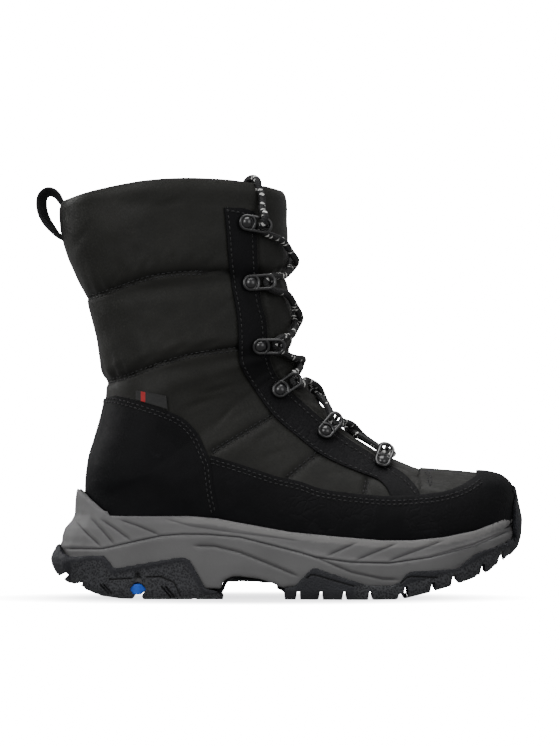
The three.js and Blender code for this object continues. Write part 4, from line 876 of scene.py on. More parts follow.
# The tongue. A padded nylon tongue that fills the throat and is gusseted to the shaft behind the facings: it is
# pinched where the quilting of the shaft runs on across it, and pleated where it bends at the ankle.
TONGUE_COLUMNS = 60
tongue_rows = rows[first_open:]
tongue_w = throat_w[first_open:]
across_share = np.linspace(-1, 1, TONGUE_COLUMNS + 1)
row_size = np.linalg.norm(upper_point(tongue_rows, 0.5) - upper_point(tongue_rows, 0.0), axis=1) / 0.5
flange = 6.5 / row_size
tongue_v = across_share[None, :] * (tongue_w + flange)[:, None]
tongue_surface = upper_point(tongue_rows[:, None], tongue_v)
tongue_normals = upper_normal(tongue_rows[:, None], tongue_v)
from_edge = (tongue_w[:, None] - np.abs(tongue_v)) * row_size[:, None]
TONGUE_SINK = 1.9
crown = np.clip(from_edge / 5.0, -1, 1)
tongue_out = np.where(from_edge > 0, TONGUE_SINK * (np.sin(np.clip(crown, 0, 1) * math.pi / 2) - 1),
                      2.2 * crown - TONGUE_SINK)
tongue_out = np.maximum(tongue_out, -3.5)
tx, ty, tz = (tongue_surface[..., i] for i in range(3))
for seam_z, seam_x, depth in ((199.6, 80, 1.6), (153.2, 86, 1.5)):
    away = np.abs(tz - seam_z - 0.10 * (tx - seam_x))
    tongue_out = tongue_out - depth * np.exp(-((away / 2.0) ** 2)) - 0.5 * np.exp(-away / 6)
    tongue_out = tongue_out + 0.35 * np.sin(ty * 0.8) * np.exp(-away / 7)
bend = np.exp(-(((tz - 124) / 12) ** 2))
tongue_out = tongue_out + 0.5 * bend * np.sin((tz + 0.4 * tx) * 1.05 + 0.5 * np.sin(ty * 0.3))
tongue_out = tongue_out + 0.35 * ripple(tongue_surface, 24, 9)
tongue_places = (tongue_surface + tongue_normals * tongue_out[..., None]) / 1000
tongue = sheet_mesh("padded_tongue", tongue_places)
dressed(tongue, 0.0028, 0.0006, [nylon_finish, fleece_finish])
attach(tongue, "root")
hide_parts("tongue")


# The heel counter. Nubuck leather cut in one piece, wrapped round the heel and sewn down along its top and front
# edges with a double row.
leather_finish, start, shader = finish_of("black_nubuck", 0.6, Specular_IOR_Level=0.14)
place = start.node("TexCoord", out=3)
grain = start.node("TexVoronoi", {"feature": "DISTANCE_TO_EDGE"}, {"Vector": place, "Scale": 900})
nap = start.node("TexNoise", {}, {"Vector": place, "Scale": 1500, "Detail": 3})
cloud = start.node("TexNoise", {}, {"Vector": place, "Scale": 38, "Detail": 6, "Roughness": 0.62})
stray = start.node("TexNoise", {}, {"Vector": place, "Scale": 60, "Detail": 2}, out=1)
wandering = start.node("VectorMath", {"operation": "MULTIPLY_ADD"}, {0: stray, 1: (0.012, 0.012, 0.012), 2: place})
wrinkle = start.node("TexVoronoi", {"feature": "DISTANCE_TO_EDGE"}, {"Vector": wandering, "Scale": 190})
bend = place.axes()[0].step(0.02, 0.11)
wrinkle = 1 - (1 - wrinkle.step(0.0, 0.16)) * bend * cloud.step(0.42, 0.6)
rubbed = start.node("TexNoise", {}, {"Vector": place, "Scale": 95, "Detail": 5, "Roughness": 0.7})
tone = cloud.step(0.35, 0.72).blend((0.003, 0.003, 0.0037, 1), (0.0062, 0.0062, 0.0073, 1))
tone = rubbed.step(0.62, 0.8).blend(tone, (0.013, 0.013, 0.0155, 1))
feed(shader, start, tone, roughness=0.52 + 0.22 * cloud,
     bumps=[(cloud, 0.3, 0.0012), (wrinkle, 0.4, 0.0006), (grain, 0.35, 0.0003), (nap, 0.15, 0.0002)])

OVERLAY = 1.3
CUT_EDGE = 0.0005
COUNTER_JOINT = [[0.342, 0.207], [0.346, 0.152], [0.361, 0.061], [0.363, -0.1]]
COUNTER_TOP = [
    [-0.05, 0.403], [0.099, 0.401], [0.139, 0.397], [0.182, 0.383], [0.247, 0.355], [0.282, 0.333], [0.31, 0.296],
    [0.33, 0.244], [0.342, 0.207],
]


def overlay_skin(name, outline, first, last, spacing, columns, lift, swell=None, sides=(-1, 1)):
    """A piece over the upper: its grid fills an outline of the side view, on one side or both."""
    u = even_rows(first, last, spacing)
    has, low_edge, high_edge = span(u, outline)
    picked = np.where(has)[0]
    u, low_edge, high_edge = u[picked], low_edge[picked], high_edge[picked]
    share = np.linspace(0, 1, columns + 1)
    parts = []
    for side in sides:
        w = low_edge[:, None] + share[None, :] * (high_edge - low_edge)[:, None]
        surface = upper_point(u[:, None], side * w)
        normal = upper_normal(u[:, None], side * w)
        out = np.full(surface.shape[:2], lift)
        if swell is not None:
            out = out + swell(surface)
        parts.append(sheet_mesh(name, (surface + normal * out[..., None]) / 1000))
    piece = joined(name, parts)
    made = bmesh.new()
    made.from_mesh(piece.data)
    bmesh.ops.remove_doubles(made, verts=made.verts, dist=0.00006)
    bmesh.ops.recalc_face_normals(made, faces=made.faces)
    made.to_mesh(piece.data)
    made.free()
    piece.data.shade_smooth()
    return piece


counter_outline = np.vstack([
    rounded_line(side_view(COUNTER_TOP)), side_view(COUNTER_JOINT)[1:], side_view([[-0.05, -0.1]])])
counter = overlay_skin(
    "heel_leather", counter_outline, 13.2, 26.5, 1.8, 44, OVERLAY,
    lambda p: 0.22 * ripple(p, 40, 21) + 0.1 * ripple(p, 13, 22))
dressed(counter, OVERLAY / 1000, CUT_EDGE, [leather_finish])
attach(counter, "root")
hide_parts("heel_counter")


# The mudguard. One strip of the same leather round the forefoot, widening into the toe cap, lasted into the sole
# and sewn down along its upper edge with a double row.
MUDGUARD_TOP = [
    [0.9, 0.2], [0.908, 0.174], [0.883, 0.152], [0.834, 0.13], [0.785, 0.122], [0.72, 0.118], [0.655, 0.124],
    [0.573, 0.14], [0.529, 0.16], [0.481, 0.174], [0.404, 0.207], [0.338, 0.233],
]
mudguard_outline = np.vstack([
    side_view([[0.9, 0.24]]), rounded_line(side_view(MUDGUARD_TOP)), side_view(COUNTER_JOINT),
    side_view([[1.05, -0.1], [1.05, 0.24]])])
guard_rows = even_rows(0, 18.5, 1.7)
has, guard_low, guard_high = span(guard_rows, mudguard_outline)
picked = np.where(has)[0]
guard_rows, guard_low, guard_high = guard_rows[picked], guard_low[picked], guard_high[picked]
full = guard_low < 0.004
front_open = int(np.argmax(~full))
cap_w = np.where(full, max(guard_low[front_open], 0.2), guard_low)
SIDE_COLUMNS = 40
CAP_COLUMNS = 24
outer = np.linspace(0, 1, SIDE_COLUMNS + 1)
guard_v = np.concatenate([
    -guard_high[:, None] + outer[None, :] * (guard_high - cap_w)[:, None],
    -cap_w[:, None] + np.linspace(0, 1, CAP_COLUMNS + 1)[None, 1:-1] * 2 * cap_w[:, None],
    cap_w[:, None] + outer[None, :] * (guard_high - cap_w)[:, None]], axis=1)
guard_surface = upper_point(guard_rows[:, None], guard_v)
guard_normal = upper_normal(guard_rows[:, None], guard_v)
guard_x, guard_z = guard_surface[..., 0], guard_surface[..., 2]
toe_swell = 4.2 * np.clip((guard_x - 176) / 34, 0, 1) ** 2 * np.clip((90 - guard_z) / 22, 0, 1)
flexing = 0.3 * np.exp(-(((guard_x - 112) / 34) ** 2)) * np.sin((guard_x + 0.35 * guard_z) * 0.42)
guard_out = OVERLAY + 0.25 + toe_swell + flexing
guard_out = guard_out + 0.2 * ripple(guard_surface, 36, 31) + 0.1 * ripple(guard_surface, 12, 32)
guard_places = (guard_surface + guard_normal * guard_out[..., None]) / 1000
keep = np.ones((len(guard_rows) - 1, guard_v.shape[1] - 1), dtype=bool)
keep[front_open:, SIDE_COLUMNS:SIDE_COLUMNS + CAP_COLUMNS] = False
mudguard = sheet_mesh("toe_leather", guard_places, keep)
dressed(mudguard, OVERLAY / 1000, CUT_EDGE, [leather_finish])
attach(mudguard, "root")
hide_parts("mudguard")


# The eyestays. A long leather facing down each side of the throat, which holds the rings; each is edged with one
# row of stitches and runs down under the mudguard.
EYESTAY_REAR = [
    [0.367, 0.921], [0.373, 0.851], [0.377, 0.777], [0.385, 0.692], [0.396, 0.613], [0.399, 0.545], [0.401, 0.485],
    [0.433, 0.41], [0.473, 0.34], [0.521, 0.285], [0.578, 0.229], [0.649, 0.186], [0.697, 0.161], [0.718, 0.128],
    [0.722, 0.1],
]
EYESTAY_FRONT = [
    [0.786, 0.1], [0.78, 0.132], [0.757, 0.168], [0.733, 0.19], [0.674, 0.236], [0.61, 0.291], [0.536, 0.373],
    [0.478, 0.448], [0.46, 0.518], [0.455, 0.603], [0.444, 0.658], [0.436, 0.796], [0.434, 0.89],
]
EYESTAY_TOP = [[0.432, 0.901], [0.426, 0.907], [0.412, 0.911]]
eyestay_rear = rounded_line(side_view(EYESTAY_REAR))
eyestay_front = rounded_line(side_view(EYESTAY_FRONT))
eyestay_outline = np.vstack([eyestay_rear, eyestay_front, side_view(EYESTAY_TOP)])
for side, side_name in ((-1, "lateral"), (1, "medial")):
    eyestay = overlay_skin(
        "facing_" + side_name, eyestay_outline, 5.5, 34.6, 1.7, 14, OVERLAY + 0.1,
        lambda p: 0.14 * ripple(p, 26, 41), sides=(side,))
    dressed(eyestay, (OVERLAY + 0.1) / 1000, CUT_EDGE, [leather_finish])
    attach(eyestay, "root")
    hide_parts("eyestay_" + side_name)


# The side tag. A little woven label folded under the counter's top edge on the outer side, bare but for its
# woven stripe at the rear end.
TAG_OUTLINE = [[0.184, 0.385], [0.184, 0.41], [0.246, 0.396], [0.249, 0.359]]
tag_finish, start, shader = finish_of("woven_label", 0.7)
tag_x, _, tag_z = start.node("TexCoord", out=3).axes()
STRIPE = (-0.0095, -0.0068)
stripe = (tag_x > STRIPE[0]) * (1 - (tag_x > STRIPE[1]))
ribs = (tag_z * 9000).sum("SINE")
feed(shader, start, stripe.blend((0.012, 0.012, 0.012, 1), (0.38, 0.012, 0.015, 1)), bumps=[(ribs, 0.3, 0.0002)])
tag = overlay_skin("woven_tag", side_view(TAG_OUTLINE), 19.5, 31, 0.5, 24, OVERLAY + 0.7, sides=(-1,))
dressed(tag, 0.0008, 0.0002, [tag_finish])
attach(tag, "root")
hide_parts("side_tag")


# The pull loop. A woven webbing strap sewn inside the back of the collar and to the back seam below it, with a
# half twist, so that its edge shows from the side.
webbing_finish, start, shader = finish_of("strap_webbing", 0.75)
strap_run, strap_across, _ = start.node("UVMap", {"uv_map": "along"}).axes()
ribbing = (strap_run * 5200).sum("SINE") * 0.5 + (strap_across * 60).sum("SINE")
feed(shader, start, (strap_across.sum("PINGPONG", 0.5) > 0.06).blend(
    (0.02, 0.02, 0.021, 1), (0.0085, 0.0085, 0.0092, 1)), bumps=[(ribbing, 0.5, 0.0003)])
STRAP_POINTS = [
    [0.034, 0.9], [0.021, 0.93], [0.009, 0.953], [-0.007, 0.961], [-0.02, 0.948], [-0.022, 0.917], [-0.014, 0.885],
    [0.0, 0.859], [0.015, 0.838], [0.034, 0.822],
]
STRAP_STEP = 0.0012
STRAP_AROUND = 20
STRAP_WIDTH = 0.013
STRAP_HALF = 0.0009
strap_line = side_view(STRAP_POINTS) / 1000
strap_middle = np.column_stack([strap_line[:, 0], np.zeros(len(strap_line)), strap_line[:, 1]])
strap_route = smooth_route(strap_middle, STRAP_STEP)
strap_ahead = np.gradient(strap_route, axis=0)
strap_ahead /= np.linalg.norm(strap_ahead, axis=1)[:, None]
strap_share = np.linspace(0, 1, len(strap_route))
strap_turn = math.radians(27) * np.sin(strap_share * math.pi)[:, None]
strap_side = np.array([0.0, 1.0, 0.0])
strap_up = np.cross(strap_ahead, strap_side)
strap_wide = np.cos(strap_turn) * strap_side + np.sin(strap_turn) * strap_up
strap_thick = np.cross(strap_ahead, strap_wide)
profile = []
for turn in np.linspace(0, 2 * math.pi, STRAP_AROUND, endpoint=False):
    flat = math.copysign(abs(math.cos(turn)) ** 0.35, math.cos(turn)) * STRAP_WIDTH / 2
    deep = math.copysign(abs(math.sin(turn)) ** 0.6, math.sin(turn)) * STRAP_HALF
    profile.append((flat, deep))
profile.append(profile[0])
strap_places = np.stack([
    strap_route + strap_wide * flat + strap_thick * deep for flat, deep in profile], axis=1)
strap = sheet_mesh("webbing_loop", strap_places)
layer = strap.data.uv_layers.new(name="along")
strap_run_of = {}
for i, place in enumerate(strap_places.reshape(-1, 3)):
    step, turn = divmod(i, len(profile))
    strap_run_of[tuple(np.round(place, 5))] = (step * STRAP_STEP, turn / (len(profile) - 1))
for loop in strap.data.loops:
    spot = tuple(np.round(np.array(strap.data.vertices[loop.vertex_index].co), 5))
    layer.data[loop.index].uv = strap_run_of.get(spot, (0, 0.5))
strap.data.materials.append(webbing_finish)
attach(strap, "root")
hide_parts("pull_loop")


# The insole. A loose foot bed covered with the lining's pile, which lies on the sole inside the upper.
def vectors_of(piece, kind):
    """The places (co) or directions (normal) of a piece's corners, one row each."""
    values = np.empty(len(piece.data.vertices) * 3)
    piece.data.vertices.foreach_get(kind, values)
    return values.reshape(-1, 3)


def corners(piece):
    """The places of a piece's corners in millimetres."""
    return vectors_of(piece, "co") * 1000


def moved(piece, shift):
    """Moves the corners of a piece by millimetres that a function of their places gives."""
    places = vectors_of(piece, "co")
    places += shift(places * 1000) / 1000
    piece.data.vertices.foreach_set("co", places.ravel())
    piece.data.update()


def smooth_copy(node, name, voxel, rounds):
    """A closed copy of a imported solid, remeshed finely and relaxed without shrinking."""
    mesh = bpy.data.objects[node].data.copy()
    piece = bpy.data.objects.new(name, mesh)
    mesh.name = name
    bpy.context.scene.collection.objects.link(piece)
    made = bmesh.new()
    made.from_mesh(mesh)
    bmesh.ops.remove_doubles(made, verts=made.verts, dist=0.00001)
    made.to_mesh(mesh)
    made.free()
    applied(piece, "REMESH", mode="VOXEL", voxel_size=voxel, adaptivity=0)
    relax(piece, rounds)
    piece.data.materials.clear()
    piece.data.shade_smooth()
    return piece


def relax(piece, rounds):
    """Evens out a mesh's steps: each corner moves towards its neighbours' middle, then a little back."""
    places = vectors_of(piece, "co")
    edges = np.empty(len(piece.data.edges) * 2, dtype=int)
    piece.data.edges.foreach_get("vertices", edges)
    edges = edges.reshape(-1, 2)
    near = np.bincount(edges.ravel(), minlength=len(places))[:, None]
    for _ in range(rounds):
        for share in (0.5, -0.52):
            middle = np.stack([
                np.bincount(edges[:, 0], weights=places[edges[:, 1], c], minlength=len(places))
                + np.bincount(edges[:, 1], weights=places[edges[:, 0], c], minlength=len(places))
                for c in range(3)], axis=1) / near
            places = places + share * (middle - places)
    piece.data.vertices.foreach_set("co", places.ravel())
    piece.data.update()


insole = smooth_copy("insole", "foot_bed", 0.0016, 3)
insole.data.materials.append(fleece_finish)
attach(insole, "root")
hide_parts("insole")


# The midsole. A thick moulded foam carrier in grey: a sharp ridge runs down its side from the heel to the toe,
# with leaf-shaped grooves above it, and a bevel under the lip that holds the upper.
def picture(points):
    """Places of the side view from a list of pairs of tenths of a millimetre."""
    return [(x / 10, z / 10) for x, z in points]


FOAM_LINES = [
    (picture([(-571, 306), (-330, 311), (-111, 361), (31, 391), (161, 401), (313, 399), (513, 383), (883, 290),
              (982, 259), (1198, 231), (1427, 226), (1674, 259), (1958, 327), (2181, 420)]), 1.1, 0.9),
    (picture([(982, 259), (1198, 169), (1390, 127), (1493, 124)]), 0.9, 0.9),
    (picture([(222, 331), (358, 327), (513, 290), (715, 210), (875, 142)]), 1.0, 1.0),
    (picture([(49, 497), (210, 451), (457, 414), (883, 361)]), 0.45, 0.9),
    (picture([(-506, 482), (-420, 395), (-330, 314)]), 0.8, 1.0),
    (picture([(-408, 500), (-330, 418), (-250, 327)]), 0.8, 1.0),
    (picture([(-346, 494), (-250, 430), (-145, 356)]), 0.8, 1.0),
    (picture([(-235, 492), (-110, 450), (31, 391)]), 0.8, 1.0),
    (picture([(1038, 266), (1235, 352)]), 0.8, 1.0),
    (picture([(1217, 241), (1483, 349)]), 0.8, 1.0),
    (picture([(1415, 235), (1767, 364)]), 0.8, 1.0),
]
foam_finish, start, shader = finish_of("grey_foam", 0.62, Specular_IOR_Level=0.25)
place = start.node("TexCoord", out=3)
pores = start.node("TexNoise", {}, {"Vector": place, "Scale": 1300, "Detail": 3})
cast = start.node("TexNoise", {}, {"Vector": place, "Scale": 30, "Detail": 3})
# Painted shade: the foam darkens to near black along the ridge and groove lines, where shade falls in the recesses.
painted_groove_shade = start.node("Attribute", {"attribute_name": "painted_groove_shade"}, out=2)
# Painted light: the bevel band just under the lip is painted paler grey, as if lit from above.
painted_bevel_light = start.node("Attribute", {"attribute_name": "painted_bevel_light"}, out=2)
tone = cast.step(0.3, 0.7).blend((0.128, 0.127, 0.128, 1), (0.148, 0.147, 0.148, 1))
tone = painted_bevel_light.blend(tone, (0.235, 0.23, 0.226, 1))
feed(shader, start, painted_groove_shade.blend(tone, (0.034, 0.034, 0.036, 1)),
     roughness=0.55 + 0.15 * pores, bumps=[(pores, 0.2, 0.0002)])


def finer(piece, lines, reach, cuts):
    """Splits the faces of a piece's side walls that lie near lines of the side view."""
    made = bmesh.new()
    made.from_mesh(piece.data)
    middles = np.array([face.calc_center_median() for face in made.faces]) * 1000
    walls = np.array([math.hypot(face.normal.x, face.normal.y) for face in made.faces]) > 0.4
    walls &= middles[:, 1] * np.array([face.normal.y for face in made.faces]) > -0.2
    near = np.zeros(len(walls), dtype=bool)
    for line in lines:
        near |= seam_reach(line, middles[:, 0], middles[:, 2])[0] < reach
    split = {edge for face, one, two in zip(made.faces, near, walls) if one and two for edge in face.edges}
    bmesh.ops.subdivide_edges(made, edges=list(split), cuts=cuts, use_grid_fill=True)
    made.to_mesh(piece.data)
    made.free()


def upwards(lift):
    """A straight upward shift by a lift that depends on the place."""
    return lambda p: np.column_stack([np.zeros((len(p), 2)), lift(p)])


def carved(piece, relief):
    """Moves the side walls of a piece in or out along their normals by a relief of the side view."""
    normals = vectors_of(piece, "normal")
    places = corners(piece)
    wall = np.clip((np.hypot(normals[:, 0], normals[:, 1]) - 0.35) / 0.3, 0, 1)
    outward = np.sign(normals[:, 0] * (places[:, 0] - 70) * 0.25 + normals[:, 1] * places[:, 1])
    depth = relief(places) * wall * (outward > 0)
    moved(piece, lambda p: normals * depth[:, None])
    return wall * (outward > 0)


def line_share(line, run):
    """How near a place along a line is to the line's middle part: it falls to nothing at the ends."""
    size = sum(math.hypot(b[0] - a[0], b[1] - a[1]) for a, b in zip(line[:-1], line[1:]))
    return np.clip(np.minimum(run, size - run) / 5 + 0.1, 0, 1)


def toe_lift(p):
    """The rise of the sole's underside towards the toe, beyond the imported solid's."""
    rise = np.interp(p[:, 0], [150, 170, 186, 200, 209, 221], [0, 0.8, 2.2, 3.8, 4.6, 3.0])
    return rise * np.clip((42 - p[:, 2]) / 26, 0, 1)


def foam_relief(p):
    out = np.zeros(len(p))
    for line, depth, width in FOAM_LINES:
        away, run = seam_reach(line, p[:, 0], p[:, 2])
        out -= depth * line_share(line, run) * np.exp(-((away / width) ** 2))
    heel = np.interp(p[:, 2], [28, 33, 38, 43, 48, 52, 57, 61, 66, 71, 76],
                     [0.4, 1.6, 2.3, 1.8, -1.0, -2.0, -0.9, 0.8, 2.6, 1.8, 0])
    out += heel * np.clip((-34 - p[:, 0]) / 14, 0, 1)
    out += 2.4 * np.clip((p[:, 0] - 198) / 12, 0, 1)
    return out


FOAM_VOXEL = 0.0014
midsole = smooth_copy("midsole", "foam_carrier", FOAM_VOXEL, 9)
finer(midsole, [line for line, _, _ in FOAM_LINES], 2.0, 2)
walls = carved(midsole, foam_relief)
moved(midsole, upwards(lambda p: 0.85 * toe_lift(p)))
LIP = [(-32, 51.3), (-19, 51), (21, 51), (37, 49.7), (51.3, 46.9), (82.2, 41.4), (110.6, 38.7), (139, 36.4),
       (157.5, 36.4), (176.7, 38.3), (195.8, 42), (210, 47.2), (219.3, 51.5)]
facing_up = vectors_of(midsole, "normal")[:, 2] > 0.2


def onto_lip(p):
    """The lift that lays the carrier's upper rim on the line of its lip."""
    lip = np.interp(p[:, 0], *zip(*LIP))
    return np.where((p[:, 0] > -30) & (p[:, 0] < 212) & (p[:, 2] > lip - 1.2) & facing_up, lip - p[:, 2], 0)


moved(midsole, upwards(onto_lip))
# Painted shade in the grooves, darkest right on each line.
shown = corners(midsole)
painted_groove_shade = np.zeros(len(shown))
for line, depth, width in FOAM_LINES:
    away, run = seam_reach(line, shown[:, 0], shown[:, 2])
    painted_groove_shade = np.maximum(painted_groove_shade, line_share(line, run) * depth * np.exp(-((away / 0.42) ** 2)))
marked(midsole, "painted_groove_shade", np.clip(painted_groove_shade * walls, 0, 1))
# Painted light on the bevel band, within 4.6 mm under the lip.
below_lip = np.interp(shown[:, 0], *zip(*LIP)) - shown[:, 2]
painted_bevel_light = np.clip((4.6 - below_lip) / 0.6, 0, 1) * np.clip((shown[:, 0] - 4) / 20, 0, 1) * walls
marked(midsole, "painted_bevel_light", 0.55 * painted_bevel_light)
midsole.data.materials.append(foam_finish)
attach(midsole, "root")
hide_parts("midsole")


# The outsole. Dark moulded rubber under the heel and the forefoot, joined by a thin shank layer: it climbs the
# carrier's side in points with a smooth rim round stippled panels, and its edge is notched into lugs.
RIM_LINE = [(-576, 281), (-532, 256), (-440, 266), (-321, 276), (-305, 256), (-259, 191), (-70, 225), (160, 264),
            (208, 245), (303, 65), (383, 65), (414, 115)]
FRONT_RIM_LINE = [(850, 80), (954, 195), (992, 193), (1294, 89), (1427, 84), (1493, 108), (1538, 161), (1578, 176),
                  (1841, 170), (1862, 172), (1956, 259), (2143, 316), (2197, 354)]
rubber_finish, start, shader = finish_of("tread_rubber", 0.68, Specular_IOR_Level=0.3)
place = start.node("TexCoord", out=3)
stipple = start.node("TexVoronoi", {}, {"Vector": place, "Scale": 820})
bloom = start.node("TexNoise", {}, {"Vector": place, "Scale": 45, "Detail": 4})
panel = start.node("Attribute", {"attribute_name": "panel"}, out=2)
# Painted shade: the sipes and the panel lines are darkened to near black, where shade falls in the grooves.
painted_cut_shade = start.node("Attribute", {"attribute_name": "painted_cut_shade"}, out=2)
smooth = bloom.step(0.35, 0.7).blend((0.0175, 0.018, 0.022, 1), (0.0265, 0.027, 0.032, 1))
rough = stipple.step(0.15, 0.75).blend((0.012, 0.0122, 0.0145, 1), (0.052, 0.053, 0.058, 1))
feed(shader, start, painted_cut_shade.blend(panel.blend(smooth, rough), (0.004, 0.004, 0.0045, 1)),
     roughness=0.6 + 0.15 * bloom, bumps=[(stipple, 0.55, 0.0005)])

SIPES = [[(-343, 86), (-290, 30)], [(-321, 86), (-272, 34)], [(36, 76), (90, 10)], [(60, 76), (112, 12)],
         [(-114, 150), (-114, 2)]]
PANEL_LINES = [[(-290, 122), (-150, 128)], [(-60, 137), (30, 139), (111, 102), (150, 20)],
               [(925, 132), (948, 152), (972, 152), (1211, 84)], [(1500, 104), (1540, 138), (1569, 143), (1723, 136)]]
NOTCHES = [(87, 0, 5), (101, 0, 5), (115.4, 0, 5), (131.3, 0, 5.4), (153.2, 3.4, 5), (169.7, 5.8, 5), (182.6, 9.4, 6),
           (200.8, 17, 4.6), (212.5, 25, 4.4)]


HEEL_CUTS = [(-56.0, 14.6, 38), (-48.0, 8.4, 24)]
CUTTER_REACH = 62
ARCH_LUG_FOOT = 9.6


def sole_relief(p):
    out = -0.5 * panel_share(p)
    for line in SIPES:
        away, run = seam_reach(picture(line), p[:, 0], p[:, 2])
        out -= 1.3 * np.exp(-((away / (1.5 if line[0][0] == line[1][0] else 0.55)) ** 4))
    for line in PANEL_LINES:
        away, run = seam_reach(picture(line), p[:, 0], p[:, 2])
        out -= 0.6 * np.exp(-((away / 0.5) ** 2))
    out += np.interp(p[:, 2], [5, 9, 13, 17, 22, 26, 31], [0.8, 1.4, 1.2, 2.6, 2.6, 1.2, 1.6]) \
        * np.clip((-44 - p[:, 0]) / 12, 0, 1)
    out += np.interp(p[:, 2], [26, 32, 38, 48, 58, 66], [0, 2.0, 2.6, 1.6, 1.6, 1.8]) \
        * np.clip((p[:, 0] - 206) / 8, 0, 1)
    slats = (p[:, 0] < -28) & (p[:, 0] > -50) & (p[:, 2] > 9) & (p[:, 2] < 21)
    out += 0.22 * slats * np.sin((p[:, 2] * 0.8 - p[:, 0]) * 3.1)
    return out


def panel_share(p):
    """More than nothing on the stippled panels: away from the rim along the sole's upper edge."""
    rim = np.minimum(seam_reach(picture(RIM_LINE), p[:, 0], p[:, 2])[0],
                     seam_reach(picture(FRONT_RIM_LINE), p[:, 0], p[:, 2])[0])
    lug = np.clip((9.5 + np.interp(p[:, 0], [150, 186, 210], [0, 9, 22]) - p[:, 2]) / 0.5, 0, 1)
    return np.where(p[:, 0] < 60, np.clip((rim - 3.0) / 0.5, 0, 1), lug * np.clip((p[:, 0] - 120) / 4, 0, 1)) \
        * (p[:, 0] < 218) * (p[:, 0] > -53)


def cutters():
    """Wedges right across the sole that part its lugs, and two across the heel's bumper."""
    made = bmesh.new()
    rings = []
    for x, low, high in NOTCHES:
        rings.append([(x - 1.9, low - 2), (x + 1.5, low - 2), (x + 1.2, low + high), (x - 0.4, low + high)])
    for x, z, turn in HEEL_CUTS:
        way = (math.cos(math.radians(turn)), math.sin(math.radians(turn)))
        rings.append([(x + a * way[0] - b * way[1], z + a * way[1] + b * way[0])
                      for a, b in ((-6.0, -1.6), (2.6, -0.8), (2.6, 0.8), (-6.0, 2.2))])
    for ring in rings:
        ends = [[made.verts.new((x / 1000, y / 1000, z / 1000)) for x, z in ring]
                for y in (-CUTTER_REACH, CUTTER_REACH)]
        made.faces.new(ends[0])
        made.faces.new(ends[1])
        for i in range(4):
            made.faces.new((ends[0][i], ends[0][(i + 1) % 4], ends[1][(i + 1) % 4], ends[1][i]))
    bmesh.ops.recalc_face_normals(made, faces=made.faces)
    mesh = bpy.data.meshes.new("notches")
    made.to_mesh(mesh)
    made.free()
    cutter = bpy.data.objects.new("notches", mesh)
    bpy.context.scene.collection.objects.link(cutter)
    return cutter


def arch_shift(p):
    """The arch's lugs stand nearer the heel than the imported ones, and end clear of the ground."""
    shift = np.zeros_like(p)
    hang = (p[:, 0] > 44) & (p[:, 0] < 74) & (p[:, 2] < ARCH_LUG_FOOT)
    shift[:, 2] = np.where(hang, ARCH_LUG_FOOT - p[:, 2], 0)
    shift[:, 0] = -9 * ((p[:, 0] > 48) & (p[:, 0] < 61) & (p[:, 2] < 13))
    return shift


SOLE_VOXEL = 0.0012
outsole = smooth_copy("outsole", "lugged_sole", SOLE_VOXEL, 1)
moved(outsole, arch_shift)
moved(outsole, upwards(toe_lift))
finer(outsole, [picture(line) for line in SIPES + PANEL_LINES], 1.6, 2)
walls = carved(outsole, sole_relief)
notches = cutters()
applied(outsole, "BOOLEAN", operation="DIFFERENCE", solver="EXACT", object=notches)
bpy.data.objects.remove(notches)
outsole.data.materials.clear()
shown = corners(outsole)
marked(outsole, "panel", panel_share(shown))
# Painted shade in the sipes and panel lines, on the sole's sides only.
painted_cut_shade = np.zeros(len(shown))
for line in SIPES + PANEL_LINES:
    away, run = seam_reach(picture(line), shown[:, 0], shown[:, 2])
    painted_cut_shade = np.maximum(painted_cut_shade, np.exp(-((away / (1.6 if line == SIPES[-1] else 0.5)) ** 4)))
marked(outsole, "painted_cut_shade", painted_cut_shade * (np.abs(shown[:, 1]) > 18))
outsole.data.shade_smooth()
outsole.data.set_sharp_from_angle(angle=math.radians(42))
outsole.data.materials.append(rubber_finish)
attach(outsole, "root")
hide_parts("outsole")


# The grip insert. A bar of blue rubber moulded into the heel of the outsole, which shows at both sides.
grip_finish, start, shader = finish_of("blue_rubber", 0.4)
place = start.node("TexCoord", out=3)
cloudy = start.node("TexNoise", {}, {"Vector": place, "Scale": 300, "Detail": 3})
feed(shader, start, cloudy.step(0.3, 0.7).blend((0.008, 0.075, 0.5, 1), (0.012, 0.12, 0.72, 1)),
     bumps=[(cloudy, 0.3, 0.0003)])
grip = smooth_copy("grip_insert", "grip_bar", 0.0007, 2)
GRIP_MIDDLE = np.array([-11.4, 0, 6.2])
GRIP_GROWTH = np.array([0.3, 0, -0.12])
moved(grip, lambda p: (p - GRIP_MIDDLE) * GRIP_GROWTH)
grip.data.materials.append(grip_finish)
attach(grip, "root")
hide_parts("grip_insert")


# The stitching. Thick bonded thread: a double row along the counter's and the mudguard's top edges, down their
# joint and along each quilting seam, and a single row round the eyestays. Each stitch is its own short rounded bar.
thread_finish, start, shader = finish_of("sewing_thread", 0.55, Specular_IOR_Level=0.3)
place = start.node("TexCoord", out=3)
twist = start.node("TexNoise", {}, {"Vector": place, "Scale": 1800, "Detail": 2})
feed(shader, start, twist.step(0.35, 0.65).blend((0.010, 0.010, 0.011, 1), (0.034, 0.034, 0.036, 1)),
     bumps=[(twist, 0.4, 0.0002)])
STITCH_PITCH = 0.0034
STITCH_LENGTH = 0.0024
STITCH_WIDTH = 0.00085


def shell_tree(pieces):
    """A search tree over the outer faces of finished pieces."""
    verts, faces = [], []
    for piece in pieces:
        shift = len(verts)
        verts.extend(tuple(v.co) for v in piece.data.vertices)
        faces.extend(tuple(shift + i for i in polygon.vertices) for polygon in piece.data.polygons)
    return BVHTree.FromPolygons(verts, faces)


